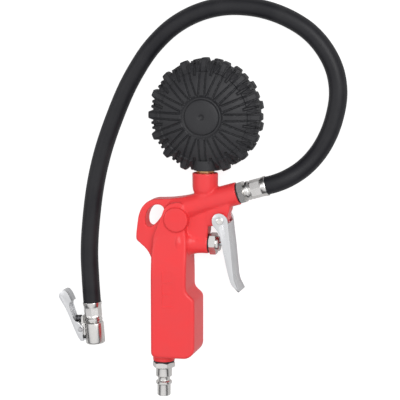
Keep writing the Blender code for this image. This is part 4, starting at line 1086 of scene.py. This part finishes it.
def coil_spring(name, base, axis, radius, wire_radius, length, turns, node):
    """A compression spring as a mesh, its coils closer together at both ends."""
    count = int(turns * STEPS_IN_TURN)
    free = length - 2.0 * wire_radius
    points = []
    for i in range(count + 1):
        share = i / count
        turn = 2.0 * math.pi * turns * share
        height = wire_radius + free * (0.35 * ramp(share, 0.0, 1.0) + 0.65 * share)
        points.append((radius * math.cos(turn), radius * math.sin(turn), height))
    curve = round_curve(name, points, wire_radius, 4)
    work = solid(curve_solid(curve), laid_along(base, axis))
    spring = place_piece(work, name, spring_steel, "gun", [node], 60.0)
    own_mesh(spring)
    return spring


lever_spring = coil_spring("lever_spring", chuck_point(12.4, 9.3), CHUCK_SIDE, 2.2, 0.4, 4.9, 4.5,
                           "chuck_lever_spring")
check_spring = coil_spring("check_coil", chuck_point(18.7, 0.0), CHUCK_DOWN, 2.6, 0.2, 2.1, 3.0,
                           "chuck_check_spring")
coil_spring("return_spring", Vector((-28.3, -9.9, GUN_Z)), ALONG_X, 3.5, 0.4, 13.8, 6.5, "valve_spring")

# %% [markdown]
# The gauge faces the table.  Its bezel is a rolled ring with a fine bead, and the brass stem shows for a few
# millimetres between the boot and the gun, where the thread ends in a plain collar.

# %% Bezel and stem
bezel_rows = [(27.6, 2.4), (28.0, 2.15), (29.0, 2.1), (30.6, 2.15), (31.2, 2.4), (31.5, 2.8), (31.6, 3.4),
              (31.6, 7.6), (31.5, 8.2), (31.2, 8.4), (30.7, 8.4), (30.7, 3.0), (27.9, 3.0)]
turned_piece("rolled_bezel", bezel_rows, GAUGE, ALONG_Z, black_shell, "gun", ["gauge_bezel"],
             192)
stem_rows = [(1.5, 31.5), (5.6, 31.5)]
THREAD_PITCH = 1.3
for turn in range(8):
    root = 32.0 + THREAD_PITCH * turn
    stem_rows += [(6.1, root), (6.5, root + 0.45), (6.5, root + 0.6), (6.1, root + 1.05)]
stem_rows += [(6.4, 42.7), (6.5, 43.0), (6.5, 52.3), (6.2, 52.6), (5.9, 52.8), (5.9, 58.0), (1.5, 58.0)]
stem_work = round_form(stem_rows, PORT_AT, ALONG_Y, 96, True)
seat_outline = [(-4.0, 57.9), (9.0, 57.9), (9.0, 69.5), (-4.0, 69.5)]
shape_with(stem_work, [solid(slab(seat_outline, 15.9, 21.2, 0.3, 2))], "UNION")
place_piece(stem_work, "gauge_stem", brass, "gun", ["gauge_socket"], 30.0)

# %% [markdown]
# The dial's ink is raised a few hundredths, as a silk-screened print is.  Its face looks down, so the figures
# are turned over to read from below, and the scale runs clockwise from the lower left as it is read.

# %% Dial print
SCALE_START = -45.0
SCALE_SWEEP = 270.0
SCALE_TOP = 12
MARKS_PER_UNIT = 5
MARK_OUTER, LONG_INNER, SHORT_INNER = 26.0, 22.6, 24.4
FIGURE_REACH = 18.6
FIGURE_SIZE = 4.6
INK_Z = 7.93
INK_THICK = 0.07
ink_bm = bmesh.new()
for step in range(SCALE_TOP * MARKS_PER_UNIT + 1):
    major = step % MARKS_PER_UNIT == 0
    angle = SCALE_START + SCALE_SWEEP * step / (SCALE_TOP * MARKS_PER_UNIT)
    inner = LONG_INNER if major else SHORT_INNER
    middle = GAUGE + unit(angle) * (inner + MARK_OUTER) / 2.0 + ALONG_Z * INK_Z
    size = Matrix.Diagonal((MARK_OUTER - inner, 0.8 if major else 0.35, INK_THICK, 1.0))
    bmesh.ops.create_cube(ink_bm, size=1.0, matrix=Matrix.Translation(middle)
                          @ Matrix.Rotation(math.radians(angle), 4, "Z") @ size)
turned_over = Matrix.Rotation(math.pi, 4, "Y")
for figure in range(0, SCALE_TOP + 1, 2):
    text = bpy.data.curves.new("figure", "FONT")
    text.body = str(figure)
    text.align_x = "CENTER"
    text.align_y = "CENTER"
    text.size = FIGURE_SIZE
    text.extrude = INK_THICK / 2.0
    text.resolution_u = 3
    place = GAUGE + unit(SCALE_START + SCALE_SWEEP * figure / SCALE_TOP) * FIGURE_REACH + ALONG_Z * INK_Z
    gather(ink_bm, curve_solid(text), Matrix.Translation(place) @ turned_over)
place_piece(solid(ink_bm), "dial_print", dial_ink, "gun", (), 30.0)

# %% [markdown]
# The small inner pieces keep the shapes they have in the frame: washers, the gauge's movement, the check
# valve.  Each takes the finish of the stock it is made from.

# %% Finishes of the carried-over pieces
CARRIED = [
    (seal_rubber, "inlet_seal_washer valve_gland_washer valve_seal lens_gasket chuck_seal"),
    (brass, "valve_poppet bourdon_tube bourdon_tip movement_front_plate movement_back_plate"),
    (brass, "movement_pillar_1 movement_pillar_2 sector_gear hairspring chuck_seal_retainer chuck_core_pin"),
    (steel, "trigger_pin_clip pinion_shaft movement_link dial_screw_1 dial_screw_2 pointer_stop_pin"),
    (black_shell, "gauge_case"),
    (glass, "gauge_lens"),
    (dial_white, "dial_plate"),
    (dial_red, "pointer"),
    (nickel, "chuck_nipple")]
for finish, names in CARRIED:
    for name in names.split():
        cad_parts[name].material_slots[0].material = finish
print("carried over:", sum(len(names.split()) for _, names in CARRIED), "pieces")
